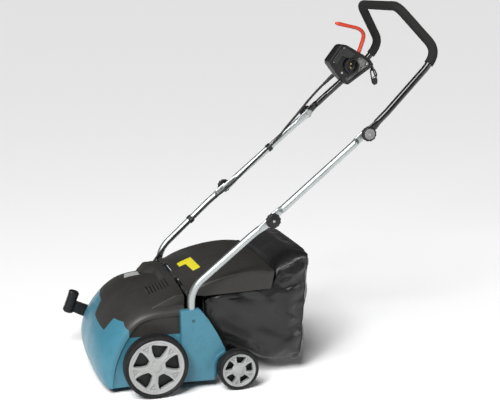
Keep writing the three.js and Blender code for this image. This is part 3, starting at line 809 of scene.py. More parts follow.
def hood_ridge():
    """The raised cap across the hood's rear; steep in front, but flatter where the vents are."""
    rings = []
    count = 72
    for k in range(count + 1):
        y = RIDGE_HALF * (2 * k / count - 1)
        top = RIDGE_TOP - 10 * (abs(y) / RIDGE_HALF) ** 2.6
        foot, lip = height_on(RIDGE_FOOT, y), height_on(RIDGE_LIP, y)
        rear, heel = roof_point(60, y) - 4, roof_point(foot, y)
        drop = 0.12 * (68 - lip)
        ring = [(foot - 1, heel - 3), (foot - 1, heel - 0.3), (foot + 1, heel + 0.8)]
        ring += [(foot + (lip - foot) * s, heel + 0.8 + (top - drop - 2 - heel) * s) for s in (0.33, 0.66, 1)]
        ring += [(lip + 3, top - drop), (87, top), (90, top - 1), (91, top - 3), (91, rear), (66, rear)]
        rings.append([at(x, y, z) for x, z in ring])
    made = piece("hood_ridge", *skin(rings), CHARCOAL, 24)
    return baked(eased(made, 1.8, 3, 50), 24)


def roof_patch(name, corners, lift, thickness, material):
    """A thin film or pad that follows the hood's roof between four corners in X and Y."""
    rows = 14
    grid = []
    a, b, c, d = (Vector(corner) for corner in corners)
    for i in range(rows + 1):
        start, end = a.lerp(b, i / rows), d.lerp(c, i / rows)
        line = [start.lerp(end, k / rows) for k in range(rows + 1)]
        grid.append([at(p.x, p.y, roof_point(p.x, p.y) + lift) for p in line])
    made = sheet(name, grid, material)
    face_away(made, at(0, 0, 0))
    return baked(eased(thickened(made, thickness + lift), min(0.4 * lift, 1), 2), 40)


def hood_screw(name, x, y):
    """A screw head with its washer, square to the hood's slope."""
    rise_x = roof_point(x + 2, y) - roof_point(x - 2, y)
    rise_y = roof_point(x, y + 2) - roof_point(x, y - 2)
    turn = Vector((-rise_x / 4, -rise_y / 4, 1)).normalized().to_track_quat("Z", "Y").to_matrix().to_4x4()
    profile = [(2.6, -2.5), (2.8, -0.6), (3.6, 0.15), (4.6, 0.25), (5.4, 0.1), (5.6, -1.5)]
    turns = [2 * math.pi * k / 28 for k in range(28)]
    rings = [[Vector((r * math.cos(t), r * math.sin(t), h)) * MM for t in turns] for r, h in profile]
    made = piece(name, *skin(rings), DARK_GREY, 50)
    made.data.transform(Matrix.Translation(at(x, y, roof_point(x, y))) @ turn)
    return made


slots = vent_slots()
hood = shell("hood_shell", lambda c: border_t(c) + SEAM, lambda c: TOP - 0.001, 44, CHARCOAL, 2.4)
fit(vented(hood, slots), "chassis", "charcoal_hood", "motor_hood")
fit(vented(hood_ridge(), slots), "chassis", "charcoal_hood")
bpy.data.objects.remove(slots)
PLATE = [(5, -22), (52, -14), (52, 74), (5, 66)]
LABEL = [(-24, 90), (20, 84), (22, 138), (-14, 146)]
fit(roof_patch("hood_plain_plate", PLATE, 0.9, 0.5, CHARCOAL), "chassis", "charcoal_hood")
fit(roof_patch("hood_blank_label", LABEL, 0.45, 0.3, SILVER_FILM), "chassis", "steel")
for number, place in enumerate(((-24, -50), (-80, -60), (-47, -186)), 1):
    fit(hood_screw(f"hood_screw_{number}", *place), "chassis", "black_plastic")


# ---- Side panels ----
def side_panel(name):
    """The near panel: a deep pan with a raised arch round the rear wheel."""
    outline = [(73, 22), (163, 20), (168, 62), (176, 84), (193, 100), (169, 150), (148, 186), (123, 219),
               (73, 216)]
    arch = [(153, 24), (154, 68), *arc(197, 55, 44, 163, 118, 7), (187, 100), (193, 96),
            *arc(200, 55, 37, 112, 166, 9), (163, 62), (160, 24)]
    return joined(name, [slab("pan", outline, 5, -227.6, -206, BLUE, 2.2, steps=4),
                         plate("arch", arch, -229.2, -226.5, BLUE, 1.1, steps=4),
                         plate("collar", circle(103, 217.5, 5, 12), -218, -214, BLUE, 0.5)])


# The panel screw's black is painted shade: a small black head stands in for the dark, shaded hole the screw
# sits in.
PANEL_SCREW = [(0.2, -227.2), (2.2, -227.4), (2.8, -228.3), (3.6, -228.4), (4, -227.8), (4.2, -226.8),
               (0.2, -226)]
fit_both(side_panel("left_panel_shell"), "chassis", "blue_housing", "left_side_panel")
fit_both(lathe("left_panel_screw", PANEL_SCREW, 106, 188, BLACK, 32), "chassis", "black_plastic")


# ---- Wheels ----
WHEELS = {
    "front": {"x": 0, "radius": 84, "rim": 73, "inner": 230, "outer": 268, "lugs": 34, "sides": 272},
    "rear": {"x": 219, "radius": 54, "rim": 45.5, "inner": 232, "outer": 268, "lugs": 22, "sides": 176},
}
SPOKES = 5
RIBS = 10
WINDOW_TURN = 9  # degrees from the first window's middle to straight back
LUG_DEPTH = 1.5
COVER_DEPTH = 3.6  # how far the cover's face lies inside the tyre's outer edge


def polar(wheel, share, turn):
    """(x, z) at a share of the rim's radius and a turn from straight back."""
    radius = wheel["rim"] * share
    return wheel["x"] + radius * math.cos(turn), wheel["radius"] + radius * math.sin(turn)


def fan(wheel, middle, half):
    """Corners on both sides of a direction, from (share of the rim's radius, turn) on one side."""
    left = [polar(wheel, share, middle + spread) for share, spread in half]
    return left + [polar(wheel, share, middle - spread) for share, spread in reversed(half)]


def tyre(name, wheel):
    radius, rim, a, b = wheel["radius"], wheel["rim"] + 0.3, wheel["inner"], wheel["outer"]
    tread = [(radius - 0.1 * abs(k - 3), a + 6 + (b - a - 12) * k / 6) for k in range(7)]
    profile = [(rim, a + 2), (radius - 7, a), (radius - 3, a + 1.2), (radius - 1, a + 3.4), *tread,
               (radius - 1, b - 3.4), (radius - 3, b - 1.2), (radius - 7, b - 0.3), (rim + 1.5, b - 1.4),
               (rim, b - 3), (rim, a + 2)]

    def lugs(r, y, turn):
        """Slanted grooves across the tread, shallower along its middle."""
        if r < radius - 3.5:
            return r
        off = abs(y - (a + b) / 2)
        phase = (turn * wheel["lugs"] / (2 * math.pi) + off / (b - a) * 1.1) % 1
        groove = wave_between(0.0, 0.09, min(phase, 1 - phase))
        return r - LUG_DEPTH * (1 - groove) * (0.45 if off < 5 else 1)
    return lathe(name, profile, wheel["x"], wheel["radius"], TYRE, wheel["sides"], lugs, 30)


def wheel_cover(name, wheel):
    """The silver cover with five windows, each spoke with a rib, a sunk triangle and a bump in it."""
    x, z, rim, face = wheel["x"], wheel["radius"], wheel["rim"], wheel["outer"] - COVER_DEPTH
    turns = [math.radians(WINDOW_TURN + 360 / SPOKES * k) for k in range(SPOKES)]
    spokes = [turn + math.pi / SPOKES for turn in turns]
    window = [(0.325, 0.2), (0.36, 0.32), (0.57, 0.405), (0.79, 0.385), (0.855, 0.33)]
    windows = [rounded_outline(fan(wheel, turn, window), rim * 0.05, 4) for turn in turns]
    sunk = [[polar(wheel, 0.60, turn), polar(wheel, 0.84, turn + 0.17), polar(wheel, 0.84, turn - 0.17)]
            for turn in spokes]
    pockets = [rounded_outline(corners, rim * 0.04, 3) for corners in sunk]
    ring = [(rim * 0.90, face - 12), (rim * 0.90, face - 1), (rim * 0.915, face + 0.8),
            (rim * 0.945, face + 1.7), (rim * 0.975, face + 1.4), (rim - 0.2, face - 0.4),
            (rim - 0.2, face - 12), (rim * 0.90, face - 12)]
    hub = [(0.3, face + 2.6), (6, face + 2.4), (10.5, face + 1.8), (12.5, face + 0.9), (13.6, face - 0.2),
           (16.5, face - 0.8), (19, face - 1.6), (19, face - 6), (0.3, face - 6)]
    disc = circle(x, z, rim * 0.93, 96)
    parts = [plate("top", disc, face - 5, face, RIM_GREY, 1.5, windows + pockets, 4),
             plate("base", disc, face - 15, face - 2.4, RIM_GREY, 0.5, windows),
             lathe("ring", ring, x, z, RIM_GREY, 128), lathe("hub", hub, x, z, RIM_GREY, 64)]
    for turn in spokes:
        bump = [polar(wheel, 0.7, turn), polar(wheel, 0.79, turn + 0.075), polar(wheel, 0.79, turn - 0.075)]
        rib = fan(wheel, turn, [(0.27, 0.16), (0.57, 0.045)])
        parts.append(slab("bump", bump, 2, face - 5, face - 0.4, RIM_GREY, 0.9))
        parts.append(slab("ridge", rib, 2, face - 2, face + 0.7, RIM_GREY, 0.65))
    return joined(name, parts)


def beam(name, start, end, half, y0, y1, material, bevel):
    """A straight rib between two points in X and Z."""
    a, b = Vector(start), Vector(end)
    side = Vector((-(b - a).y, (b - a).x)).normalized() * half
    return plate(name, [tuple(p) for p in (a + side, b + side, b - side, a - side)], y0, y1, material, bevel)


def wheel_core(name, wheel):
    """The dark moulded wheel behind the cover."""
    x, z, rim, inner, outer = wheel["x"], wheel["radius"], wheel["rim"], wheel["inner"], wheel["outer"]
    web = outer - 23
    profile = [(6.4, inner + 4), (13, inner + 4), (13, web - 2), (rim - 6, web - 4), (rim - 5, inner + 3.4),
               (rim - 0.4, inner + 3.2), (rim - 0.4, outer - 16), (rim - 5, outer - 17), (rim - 7, web),
               (13, web + 1), (12, outer - 9), (6.4, outer - 9), (6.4, inner + 4)]
    parts = [lathe("core", profile, x, z, BLACK)]
    for k in range(RIBS):
        turn = math.radians(WINDOW_TURN + 360 / RIBS * k)
        start, end = polar(wheel, 13 / rim, turn), polar(wheel, 0.93, turn)
        parts.append(beam("rib", start, end, 1, inner + 7, web - 1, BLACK, 0.4))
    return joined(name, parts)


for place, wheel in WHEELS.items():
    body = f"right_{place}_wheel"
    fit_both(tyre(f"right_{place}_tread", wheel), body, "tyre_rubber", f"right_{place}_tyre")
    fit_both(wheel_cover(f"right_{place}_wheel_cover", wheel), body, "grey_rim", f"right_{place}_rim")
    fit_both(wheel_core(f"right_{place}_wheel_core", wheel), body, "black_plastic")


# ---- Depth lever ----
GRIP_MIDDLE = at(-162, 221, 132)
GRIP_AXIS = Vector((-25, 0, -67)).normalized()
GRIP_LENGTH = 68
GRIP_HALF = 15.4


def lever_arm():
    """The bent arm with a sunk channel, in two layers."""
    outline = [(30, 80), (30, 97), (14, 103), (-20, 98), (-78, 92), (-104, 112), (-150, 133), (-163, 103),
               (-118, 79), (-92, 60), (-76, 56), (-14, 72), (12, 72)]
    channel = rounded_outline([(-104, 104), (-144, 124), (-150, 109), (-114, 88)], 3)
    return joined("depth_lever_bar", [slab("arm", outline, 6, 215, 222, BLACK, 1.2),
                                      slab("web", outline, 6, 221, 227, BLACK, 1.2, [channel])])


def lever_grip():
    """The cross grip, waisted and with a moulded seam, and its two screws."""
    line = [GRIP_MIDDLE + GRIP_AXIS * (GRIP_LENGTH / 2 * MM * (k / 12 - 1)) for k in range(25)]

    def size(share):
        near = min(share, 1 - share) * GRIP_LENGTH
        edge = math.sqrt(max(1 - (1 - min(near / 7, 1)) ** 2, 0.001))
        waist = 1 - 0.06 * math.sin(math.pi * share)
        seam = 0.5 * math.exp(-((share - 0.5) * GRIP_LENGTH / 17 - 1) ** 2 * 40)
        return GRIP_HALF * waist * (0.45 + 0.55 * edge) - seam, GRIP_HALF * (0.5 + 0.5 * edge) - seam, 0.68
    parts = [sweep("grip", even(line, 1.2), size, BLACK, 40)]
    screw = [(0.2, 207.2), (2, 207), (2.6, 205.9), (3.6, 205.5), (4, 206.4), (4, 209), (0.2, 209)]
    for shift in (-22, 22):
        place = GRIP_MIDDLE + GRIP_AXIS * shift * MM
        parts.append(lathe("screw", screw, (place.x - AXLE_X) / MM, place.z / MM, DARK_GREY, 24))
    return joined("depth_lever_handle", parts)


fit(lever_arm(), "depth_adjuster", "black_plastic", "depth_lever_arm")
fit(lever_grip(), "depth_adjuster", "black_plastic", "depth_lever_grip")


# ---- Rear flap ----
FLAP_TOP = [(104.5, 254.5), (116, 260), (130, 268), (160, 279.5), (200, 290), (240, 297), (290, 300),
            (339, 295.5)]
FLAP_ROOF = [tuple(point) for point in catmull([Vector(point) for point in FLAP_TOP])]
FLAP_FOOT = [(104, 247), (125, 243), (145, 240), (240, 243), (340, 246)]
FLAP_FRONT = 104.5
FLAP_REAR = 340
FLAP_HALF = 184.5
FLAP_CORNER = 9
FLAP_LEAN = 11  # how far the rear edge's foot lies ahead of its top


def flap_height(x, y):
    """The flap's top at a place."""
    crown = 1.6 * (1 - (y / FLAP_HALF) ** 2) * wave_between(110, 180, x)
    return height_on(FLAP_ROOF, x) - 1.6 + crown


def flap_shell():
    rows = []
    count = 54
    for k in range(count + 1):
        x = FLAP_FRONT + (FLAP_REAR - FLAP_FRONT) * k / count
        lip = wave_between(333, 339, x)
        foot, top = height_on(FLAP_FOOT, x), flap_height(x, FLAP_HALF)
        radius = min(FLAP_CORNER, 0.45 * (top - foot))
        half = FLAP_HALF - 1.2 * (1 - wave_between(118, 150, x)) + 1.4 * lip
        ring = [(-half, foot + (top - radius - foot) * i / 6) for i in range(7)]
        ring += [(-half + radius - radius * math.cos(t), top - radius + radius * math.sin(t))
                 for t in (math.radians(15 * i) for i in range(1, 6))]
        across = [(radius - half) * (1 - i / 14) for i in range(29)]
        ring += [(y, flap_height(x, y) + 0.5 * lip) for y in across]
        ring += [(-y, z) for y, z in reversed(ring[:12])]
        lean = FLAP_LEAN * wave_between(285, 340, x) / (top - foot)
        rows.append([at(x - lean * max(top - z, 0), y, z) for y, z in ring])
    made = sheet("flap_cover", rows, CHARCOAL)
    face_away(made, at(220, 0, 200))
    return baked(eased(thickened(made, 2.4), 0.7, 2, 60), 40)


def flap_knuckles():
    """The sleeves that turn on the hinge rod."""
    parts = []
    for y0, y1 in ((-184, -120), (-30, 30), (120, 184)):
        profile = [(3.4, y0), (5.4, y0), (6.2, y0 + 0.8), (6.2, y1 - 0.8), (5.4, y1), (3.4, y1), (3.4, y0)]
        parts.append(lathe("knuckle", profile, *FLAP_HINGE, CHARCOAL, 40))
    return joined("flap_hinge_knuckles", parts)


def flap_label():
    """A plain yellow film in the shape of an L, cut into a grid and laid on the flap."""
    outline = [(125, 68), (165, 68), (167, -47), (146, -51), (142.5, 30), (125.5, 33)]
    made = slab("flap_blank_label", outline, 2, 0, 1, YELLOW, 0.01)
    work = bmesh.new()
    work.from_mesh(made.data)
    for vert in work.verts:
        vert.co = Vector((vert.co.x - AXLE_X, vert.co.z, vert.co.y)) / MM
    for axis, start, step, count in ((Vector((1, 0, 0)), 126, 3, 14), (Vector((0, 1, 0)), -48, 6, 20)):
        for k in range(count):
            place = axis * (start + k * step)
            bmesh.ops.bisect_plane(work, geom=everything(work), plane_co=place, plane_no=axis)
    for vert in work.verts:
        lift = 0.45 if vert.co.z > 0.5 else -0.4
        vert.co = at(vert.co.x, vert.co.y, flap_height(vert.co.x, vert.co.y) + lift)
    work.to_mesh(made.data)
    work.free()
    tidy(made, 40)
    return made


def everything(work):
    return list(work.verts) + list(work.edges) + list(work.faces)


fit(flap_shell(), "flap", "charcoal_hood", "rear_flap")
fit(flap_knuckles(), "flap", "charcoal_hood")
fit(flap_label(), "flap", "charcoal_hood")


# ---- Handle ----
def towards(pivot, direction, distance, y=TUBE_Y):
    """The point at a distance from a joint, along a run of the handle."""
    return at(pivot[0] + direction[0] * distance, y, pivot[1] + direction[1] * distance)


NOSE = 11
LAP = 38
LAP_HALF = 4.05  # half the thickness of a flattened end
LAP_SHIFT = 4.45
LOWER_RUN = (-0.795, -0.606)
MIDDLE_RUN = tuple((Vector(UPPER_PIVOT) - Vector(LOWER_PIVOT)).normalized())
UPPER_RUN = (0.735, 0.678)
LOWER_LEG = [at(103, 215.5, 110), at(103, 215.5, 271), at(262, 233, 408.5),
             towards(LOWER_PIVOT, LOWER_RUN, LAP), towards(LOWER_PIVOT, LOWER_RUN, -NOSE)]
LOWER_LINE = bent(LOWER_LEG, [38, 10, 6], 14)
MIDDLE_SPAN = [towards(LOWER_PIVOT, MIDDLE_RUN, -NOSE), towards(UPPER_PIVOT, MIDDLE_RUN, NOSE)]
UPPER_LEG = [towards(UPPER_PIVOT, UPPER_RUN, -NOSE), towards(UPPER_PIVOT, UPPER_RUN, LAP), at(630, 233, 715),
             at(757, 204, 832), at(786, 196, 874), at(698, 131, 989)]
UPPER_TRIMS = [6, 8, 18, 34, 26]
UPPER_LINE = bent(UPPER_LEG + [Vector((p.x, -p.y, p.z)) for p in reversed(UPPER_LEG)],
                  UPPER_TRIMS + UPPER_TRIMS[::-1], 14)
FOAM_FOOT = 0.837
FOAM_R = 12.7


def lapped_tube(name, line, laps, material):
    """A round tube whose ends are pressed flat; laps gives the side of each flattened end, or None."""
    line = even(line, 2.2)
    length = length_mm(line)

    def state(share):
        """Millimetres from the nearer bolt, that end's side and how flat the tube is there."""
        near, lap = (share * length, laps[0]) if share < 0.5 else ((1 - share) * length, laps[1])
        return (near - NOSE, lap, 1 - wave_between(29, 44, near - NOSE)) if lap else (near, None, 0)

    def size(share):
        s, lap, flat = state(share)
        if lap is None:
            edge = min(1, 0.86 + s / 12)
            return TUBE_R * edge, TUBE_R * edge, 1
        width = NOSE + (TUBE_R - NOSE) * wave_between(8, 44, s)
        if s < 0:
            width = math.sqrt(max(NOSE ** 2 - s ** 2, 0.3))
        return width, TUBE_R + (LAP_HALF - TUBE_R) * flat, 1 - 0.35 * flat

    moved = []
    for i, point in enumerate(line):
        _, lap, flat = state(i / (len(line) - 1))
        shift = (lap or 0) * LAP_SHIFT * flat
        moved.append(point + Vector((0, math.copysign(1, point.y) * shift * MM, 0)))
    return sweep(name, moved, size, material, 32, 45)


fit_both(lapped_tube("right_lower_leg", LOWER_LINE, (None, 1), SILVER_TUBE), "chassis", "silver_tube",
         "right_lower_tube")
fit_both(lapped_tube("right_middle_leg", MIDDLE_SPAN, (-1, -1), SILVER_TUBE), "middle_handle", "silver_tube",
         "right_middle_tube")
fit(lapped_tube("handle_bow", UPPER_LINE, (1, 1), BLACK_TUBE), "upper_handle", "black_tube",
    "upper_handle_tube")

foam_line = even([p for p in UPPER_LINE if p.z > FOAM_FOOT], 3)
foam_sleeve = round_bar("foam_sleeve", foam_line, FOAM_R, FOAM, 36, 2.2)
fit(foam_sleeve, "upper_handle", "handle_foam", "foam_grip")


def clamp_knob(name, pivot, face):
    """A round knob with shallow finger lobes, on the right side of the handle."""
    def lobes(r, y, turn):
        return r - (1.3 * (0.5 + 0.5 * math.cos(12 * turn)) ** 2 if r > 17 else 0)

    def turned(part, profile, material, sides, shape=None):
        return lathe(part, [(r, TUBE_Y + y) for r, y in profile], *pivot, material, sides, shape)
    grip = [(4.5, 9), (9.5, 9), (10.4, 9.8), (10.6, 12), (17.5, 12.6), (19.4, 14), (20, 16), (20, 20),
            (19.3, 22.6), (17.6, 24.2), (15.6, 24.8), (15, 24.2), (4.5, 24), (4.5, 9)]
    cap = [(0.3, 26), (6, 25.8), (11, 25.2), (14, 24.4), (14.6, 23), (0.3, 22)]
    nut = [(0.3, 26.9), (3.4, 26.8), (4.2, 26), (4.4, 24), (0.3, 24)]
    return joined(name, [turned("grip", grip, BLACK, 144, lobes), turned("cap", cap, face, 64),
                         turned("nut", nut, STEEL, 6)])


for place, pivot, face in (("lower", LOWER_PIVOT, BLACK), ("upper", UPPER_PIVOT, MID_GREY)):
    fit_both(clamp_knob(f"right_{place}_knob_grip", pivot, face), f"right_{place}_knob", "black_plastic",
             f"right_{place}_clamp_knob")


# ---- Switch box, lever and cord hook ----
BOX_OUTLINE = [(683, 748), (768, 806), (757, 823), (734, 838), (676, 870), (660, 869), (624, 822), (626, 812),
               (655, 775)]
BOX_RADIUS = 7
INLET = (694, 806)
BUTTON = (660, 842)
LEVER_PIVOT = (720, 831)
LEVER_Y = 212


def box_far_half():
    hole = [circle(*BUTTON, 6.6, 32)]
    return joined("switch_box_far_shell", [
        slab("shell", BOX_OUTLINE, BOX_RADIUS, 212.3, 236.8, BLACK, 3.2, hole, 5),
        slab("seam", BOX_OUTLINE, BOX_RADIUS, 211.9, 213.4, DARK_GREY, 0.6),
        plate("boss", circle(*BUTTON, 10), 236, 238.4, DARK_GREY, 0.8, hole)])


def box_near_half():
    """The near shell, with an open pocket under its rim that shows stiffening ribs."""
    opening = [(676, 769), (685, 758), (757, 808), (748, 820), (728, 832), (712, 826), (700, 780)]
    pocket = rounded_outline(opening, 3)
    raised = [(634, 822), (660, 858), (676, 860), (706, 842), (692, 826), (664, 836), (646, 810)]
    well = circle(INLET[0] - 8, INLET[1] + 6, 17)
    parts = [slab("shell", BOX_OUTLINE, BOX_RADIUS, 197, 211.8, BLACK, 1.2),
             slab("rim", BOX_OUTLINE, BOX_RADIUS, 187, 198, BLACK, 3.0, [pocket, well], 5),
             slab("raised", raised, 4, 184.6, 189, DARK_GREY, 1.4),
             plate("floor", pocket, 195.4, 197.6, MID_GREY, 0.3)]
    for start, end in (((688, 764), (706, 800)), ((702, 774), (716, 806)), ((716, 784), (728, 812)),
                       ((730, 794), (740, 816)), ((682, 778), (750, 806)), ((700, 782), (744, 818))):
        parts.append(beam("rib", start, end, 1.1, 190.5, 198, MID_GREY, 0.5))
    screw = [(0.2, 186.4), (2.2, 186.2), (2.6, 185.2), (3.4, 185), (3.9, 186), (4, 190), (0.2, 190)]
    for x, z in ((640, 820), (670, 858), (664, 786), (744, 812)):
        parts.append(lathe("screw", screw, x, z, STEEL, 20))
    return joined("switch_box_near_shell", parts)


def inlet_shroud():
    wall = [(18.6, 197.6), (18.6, 181), (19.4, 179.6), (21, 179), (22.6, 179.6), (23.4, 181), (23.6, 192),
            (24.6, 197.6), (18.6, 197.6)]
    base = [(0.3, 197.4), (18.8, 197.4), (18.8, 194.8), (8, 194.4), (0.3, 194.4)]
    return joined("inlet_shroud", [lathe("wall", wall, *INLET, BLACK, 72),
                                   lathe("base", base, *INLET, DARK_GREY, 48)])


def switch_lever():
    """The red hook on its pivot boss."""
    route = [(720, 831), (733, 862), (741, 895), (727, 914), (690, 924), (650, 933)]
    line = even(catmull([at(x, LEVER_Y, z) for x, z in route], 14), 2)

    def size(share):
        tip = min(1, 0.5 + (1 - share) * 9)
        flare = 1 + 0.12 * wave_between(0.75, 1, share)
        return 5.6 * tip * flare, 7.4 * tip * flare, 0.82
    boss = [(4.4, 206), (8, 206.4), (8.4, 208), (8.4, 216), (8, 217.6), (4.4, 218), (4.4, 206)]
    return joined("switch_lever_hook", [sweep("hook", line, size, RED, 32),
                                        lathe("boss", boss, *LEVER_PIVOT, RED, 40)])


def cord_hook():
    """A flat loop with two openings and a tongue beside it, for the mains cord."""
    outline = [(769.5, 806), (775, 800), (777, 786), (789.5, 760), (788, 748), (778, 744), (771, 752),
               (764, 786)]
    upper = [(769.5, 801), (772.5, 797), (774, 785), (779.5, 772), (771, 767), (767.5, 786)]
    lower = [(773.5, 762), (782, 766), (785.6, 758), (785, 750.5), (778.5, 748), (774, 754)]
    openings = [rounded_outline(corners, 2) for corners in (upper, lower)]
    tongue = [(776, 796), (781, 792), (789, 776), (785, 766), (781, 768), (784, 776), (778, 789)]
    return joined("cord_hook_loop", [slab("loop", outline, 3.5, 207, 213, BLACK, 1.4, openings, 4),
                                     slab("tongue", tongue, 2, 208, 212, BLACK, 1.2)])


def lock_off_cap():
    profile = [(0.3, 241), (3.6, 240.8), (5.2, 240.2), (5.9, 239), (5.9, 222.4), (0.3, 222.4)]
    return lathe("lock_off_cap", profile, *BUTTON, RED, 40)


fit(box_far_half(), "upper_handle", "black_plastic", "switch_box_outer")
fit(box_near_half(), "upper_handle", "black_plastic", "switch_box_inner")
fit(inlet_shroud(), "upper_handle", "black_plastic", "inlet_well")
fit(switch_lever(), "switch_lever", "red_plastic", "switch_lever")
fit(cord_hook(), "upper_handle", "black_plastic", "cord_hook")
fit(lock_off_cap(), "lock_off_button", "red_plastic", "lock_off_button")


# ---- Cable ----
CABLE_R = 3.5
CABLE_TOP = [(612, 201.2, 753), (597, 204, 738), (580, 208, 719), (566, 212, 702), (549, 215, 681),
             (530, 217, 658), (500, 218, 624), (470, 219, 588), (447, 220, 566)]
CABLE_FOOT = [(447, 220, 566), (420, 221, 541), (380, 220, 506), (345, 217, 474), (323, 215, 456),
              (304, 215, 441), (285, 216, 427), (255, 215, 404), (202, 208, 360), (160, 202, 325),
              (128, 199, 296), (104, 197, 268), (90, 197, 251), (82, 195, 240), (80, 189, 236.3),
              (80, 184, 236), (80, 178, 236)]


def cable_run(name, points, upper, lower, pivot, run_up, run_down, *nodes):
    """A length of cable along the points."""
    line = even(catmull([at(*p) for p in points], 10), 3)
    made = round_bar(name, line, CABLE_R, CABLE, 20, 0.6)
    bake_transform(made)
    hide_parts(*nodes)


def strain_relief():
    """The ribbed boot where the cable leaves the switch box."""
    start, end = at(641, 200, 779), at(611, 201, 752)
    line = [start.lerp(end, k / 60) for k in range(61)]

    def size(share):
        rib = 0.7 * (0.5 + 0.5 * math.cos(2 * math.pi * 7 * share)) ** 2 if 0.12 < share < 0.97 else 0.5
        radius = 6.2 - 1.7 * share - 0.55 + rib
        return radius, radius, 1
    return sweep("cable_boot", line, size, BLACK, 24)


def band(place, direction, inner, outer):
    """A moulded ring round a tube or cable."""
    side = direction.cross(Vector((0, 1, 0))).normalized()
    up = direction.cross(side)
    turns = [2 * math.pi * k / 40 for k in range(40)]
    rings = []
    for s, r in ((-6.4, inner), (-7, inner + 0.6), (-7, outer - 0.7), (-6.3, outer), (6.3, outer),
                 (7, outer - 0.7), (7, inner + 0.6), (6.4, inner), (-6.4, inner)):
        middle = place + direction * s * MM
        rings.append([middle + (side * math.cos(t) + up * math.sin(t)) * r * MM for t in turns])
    return piece("band", *skin(rings, closed_ends=False), BLACK, 40)


def strap(name, tube, run, cable):
    """A moulded clip round the tube, linked to a ring round the cable."""
    centre, hook = at(*tube), at(*cable)
    direction = Vector(run).normalized()
    gap = (hook - centre).length / MM
    start, end = centre.lerp(hook, (TUBE_R + 1.6) / gap), centre.lerp(hook, 1 - 5 / gap)
    link = sweep("link", [start, start.lerp(end, 0.5), end], lambda s: (5, 2.4, 0.6), BLACK, 20)
    return joined(name, [band(centre, direction, TUBE_R + 0.4, TUBE_R + 2.6),
                         band(hook, direction, CABLE_R + 0.4, CABLE_R + 2.7), link])


cable_run("cable_run_top", CABLE_TOP, "upper_handle", "middle_handle", UPPER_PIVOT, UPPER_RUN,
          (-MIDDLE_RUN[0], -MIDDLE_RUN[1]), "cable_upper")
cable_run("cable_run_foot", CABLE_FOOT, "middle_handle", "chassis", LOWER_PIVOT, MIDDLE_RUN, LOWER_RUN,
          "cable_middle", "cable_lower")
fit(strain_relief(), "upper_handle", "black_plastic", "strain_relief")
fit(strap("upper_clip_strap", (450.7, TUBE_Y, 561.6), (MIDDLE_RUN[0], 0, MIDDLE_RUN[1]), (447, 220, 566)),
    "middle_handle", "black_plastic", "upper_cable_clip")
fit(strap("lower_clip_strap", (202, 226.4, 356.6), (0.753, 0.083, 0.652), (202, 208, 360)),
    "chassis", "black_plastic", "lower_cable_clip")


# ---- Collecting bag ----
# x, half width, bottom, top, and how far the top crowns, along the machine, in millimetres.
BAG_SECTIONS = [
    (150, 173, 121, 227, 4), (180, 175, 105, 244, 5), (215, 177, 88, 260, 5), (260, 177, 67, 271, 3),
    (305, 178, 44, 274, 2), (338, 178, 34, 274, 2), (352, 178, 31, 300, 6), (395, 178, 29, 321, 8),
    (419, 178, 28, 333, 8), (430, 177, 80, 338, 8), (437, 175, 180, 339, 7), (440, 172, 262, 337, 6)]
BAG_MOUTH = 152
BAG_VOXEL = 5.5
BAG_WALL = 1.8
BAG_SIDES = 136
BAG_SQUARENESS = 15
CLOTH_STEPS = 20

# Folds pressed into the cloth's sides: (x, z) of each end, how far it stands out and how wide it is.
SIDE_FOLDS = [
    ((434, 326), (350, 257), 8, 8), ((432, 318), (372, 296), -7, 7), ((430, 300), (329, 229), -8, 12),
    ((262, 190), (205, 224), 7, 30), ((347, 190), (386, 150), -7, 9), ((325, 205), (420, 120), 5, 14),
    ((411, 146), (372, 170), 6, 7), ((414, 132), (392, 142), -5, 6), ((310, 236), (235, 240), -5, 14),
    ((425, 100), (330, 55), 6, 13), ((190, 150), (300, 80), -6, 18), ((432, 240), (402, 205), 6, 10),
    ((300, 120), (380, 84), 4, 16), ((436, 200), (412, 186), -5, 7)]


def bag_ring(half, bottom, top, crown):
    """(y, z) round a section of the bag: nearly square, with its sides drawn in and its top crowned."""
    middle, height = (top + bottom) / 2, (top - bottom) / 2
    ring = []
    for k in range(BAG_SIDES):
        turn = 2 * math.pi * (k + 0.5) / BAG_SIDES
        cos, sin = math.cos(turn), math.sin(turn)
        reach = (abs(cos) ** BAG_SQUARENESS + abs(sin) ** BAG_SQUARENESS) ** (-1 / BAG_SQUARENESS)
        y, z = half * cos * reach, middle + height * sin * reach
        pulled = 1 - 0.018 * math.sin(math.pi * min(max((z - bottom) / (top - bottom), 0), 1))
        lift = crown * (1 - (y / half) ** 2) * max(sin, 0)
        ring.append((y * pulled, z + lift))
    return ring


def fold_depth(x, z):
    """How far the folds move the cloth's side outwards at a place."""
    depth = 0
    for start, end, height, width in SIDE_FOLDS:
        a, b, p = Vector(start), Vector(end), Vector((x, z))
        share = min(max((p - a).dot(b - a) / (b - a).length_squared, 0), 1)
        gap = (p - a.lerp(b, share)).length
        depth += height * math.exp(-(gap / width) ** 2) * (0.55 + 0.45 * math.cos(math.pi * (share - 0.3)))
    return depth


def bag_form():
    """The bag as one closed form, with its big folds."""
    feet = catmull([Vector(s[:3]) for s in BAG_SECTIONS], 5)
    tops = catmull([Vector((s[0], s[3], s[4])) for s in BAG_SECTIONS], 5)
    rings = []
    for (x, half, bottom), (_, top, crown) in zip(feet, tops):
        ring = []
        for y, z in bag_ring(half, bottom, top, crown):
            side = wave_between(0.80, 0.97, abs(y) / half)
            ease = wave_between(165, 200, x)
            y += math.copysign(fold_depth(x, z) * side * ease, y)
            sag = 5 * math.sin(4.1 * math.pi * (z - 40) / 290) * wave_between(405, 430, x) * (1 - side)
            ring.append(at(x + sag, y, z))
        rings.append(ring)
    return piece("collecting_bag", *skin(rings), CLOTH, 60)


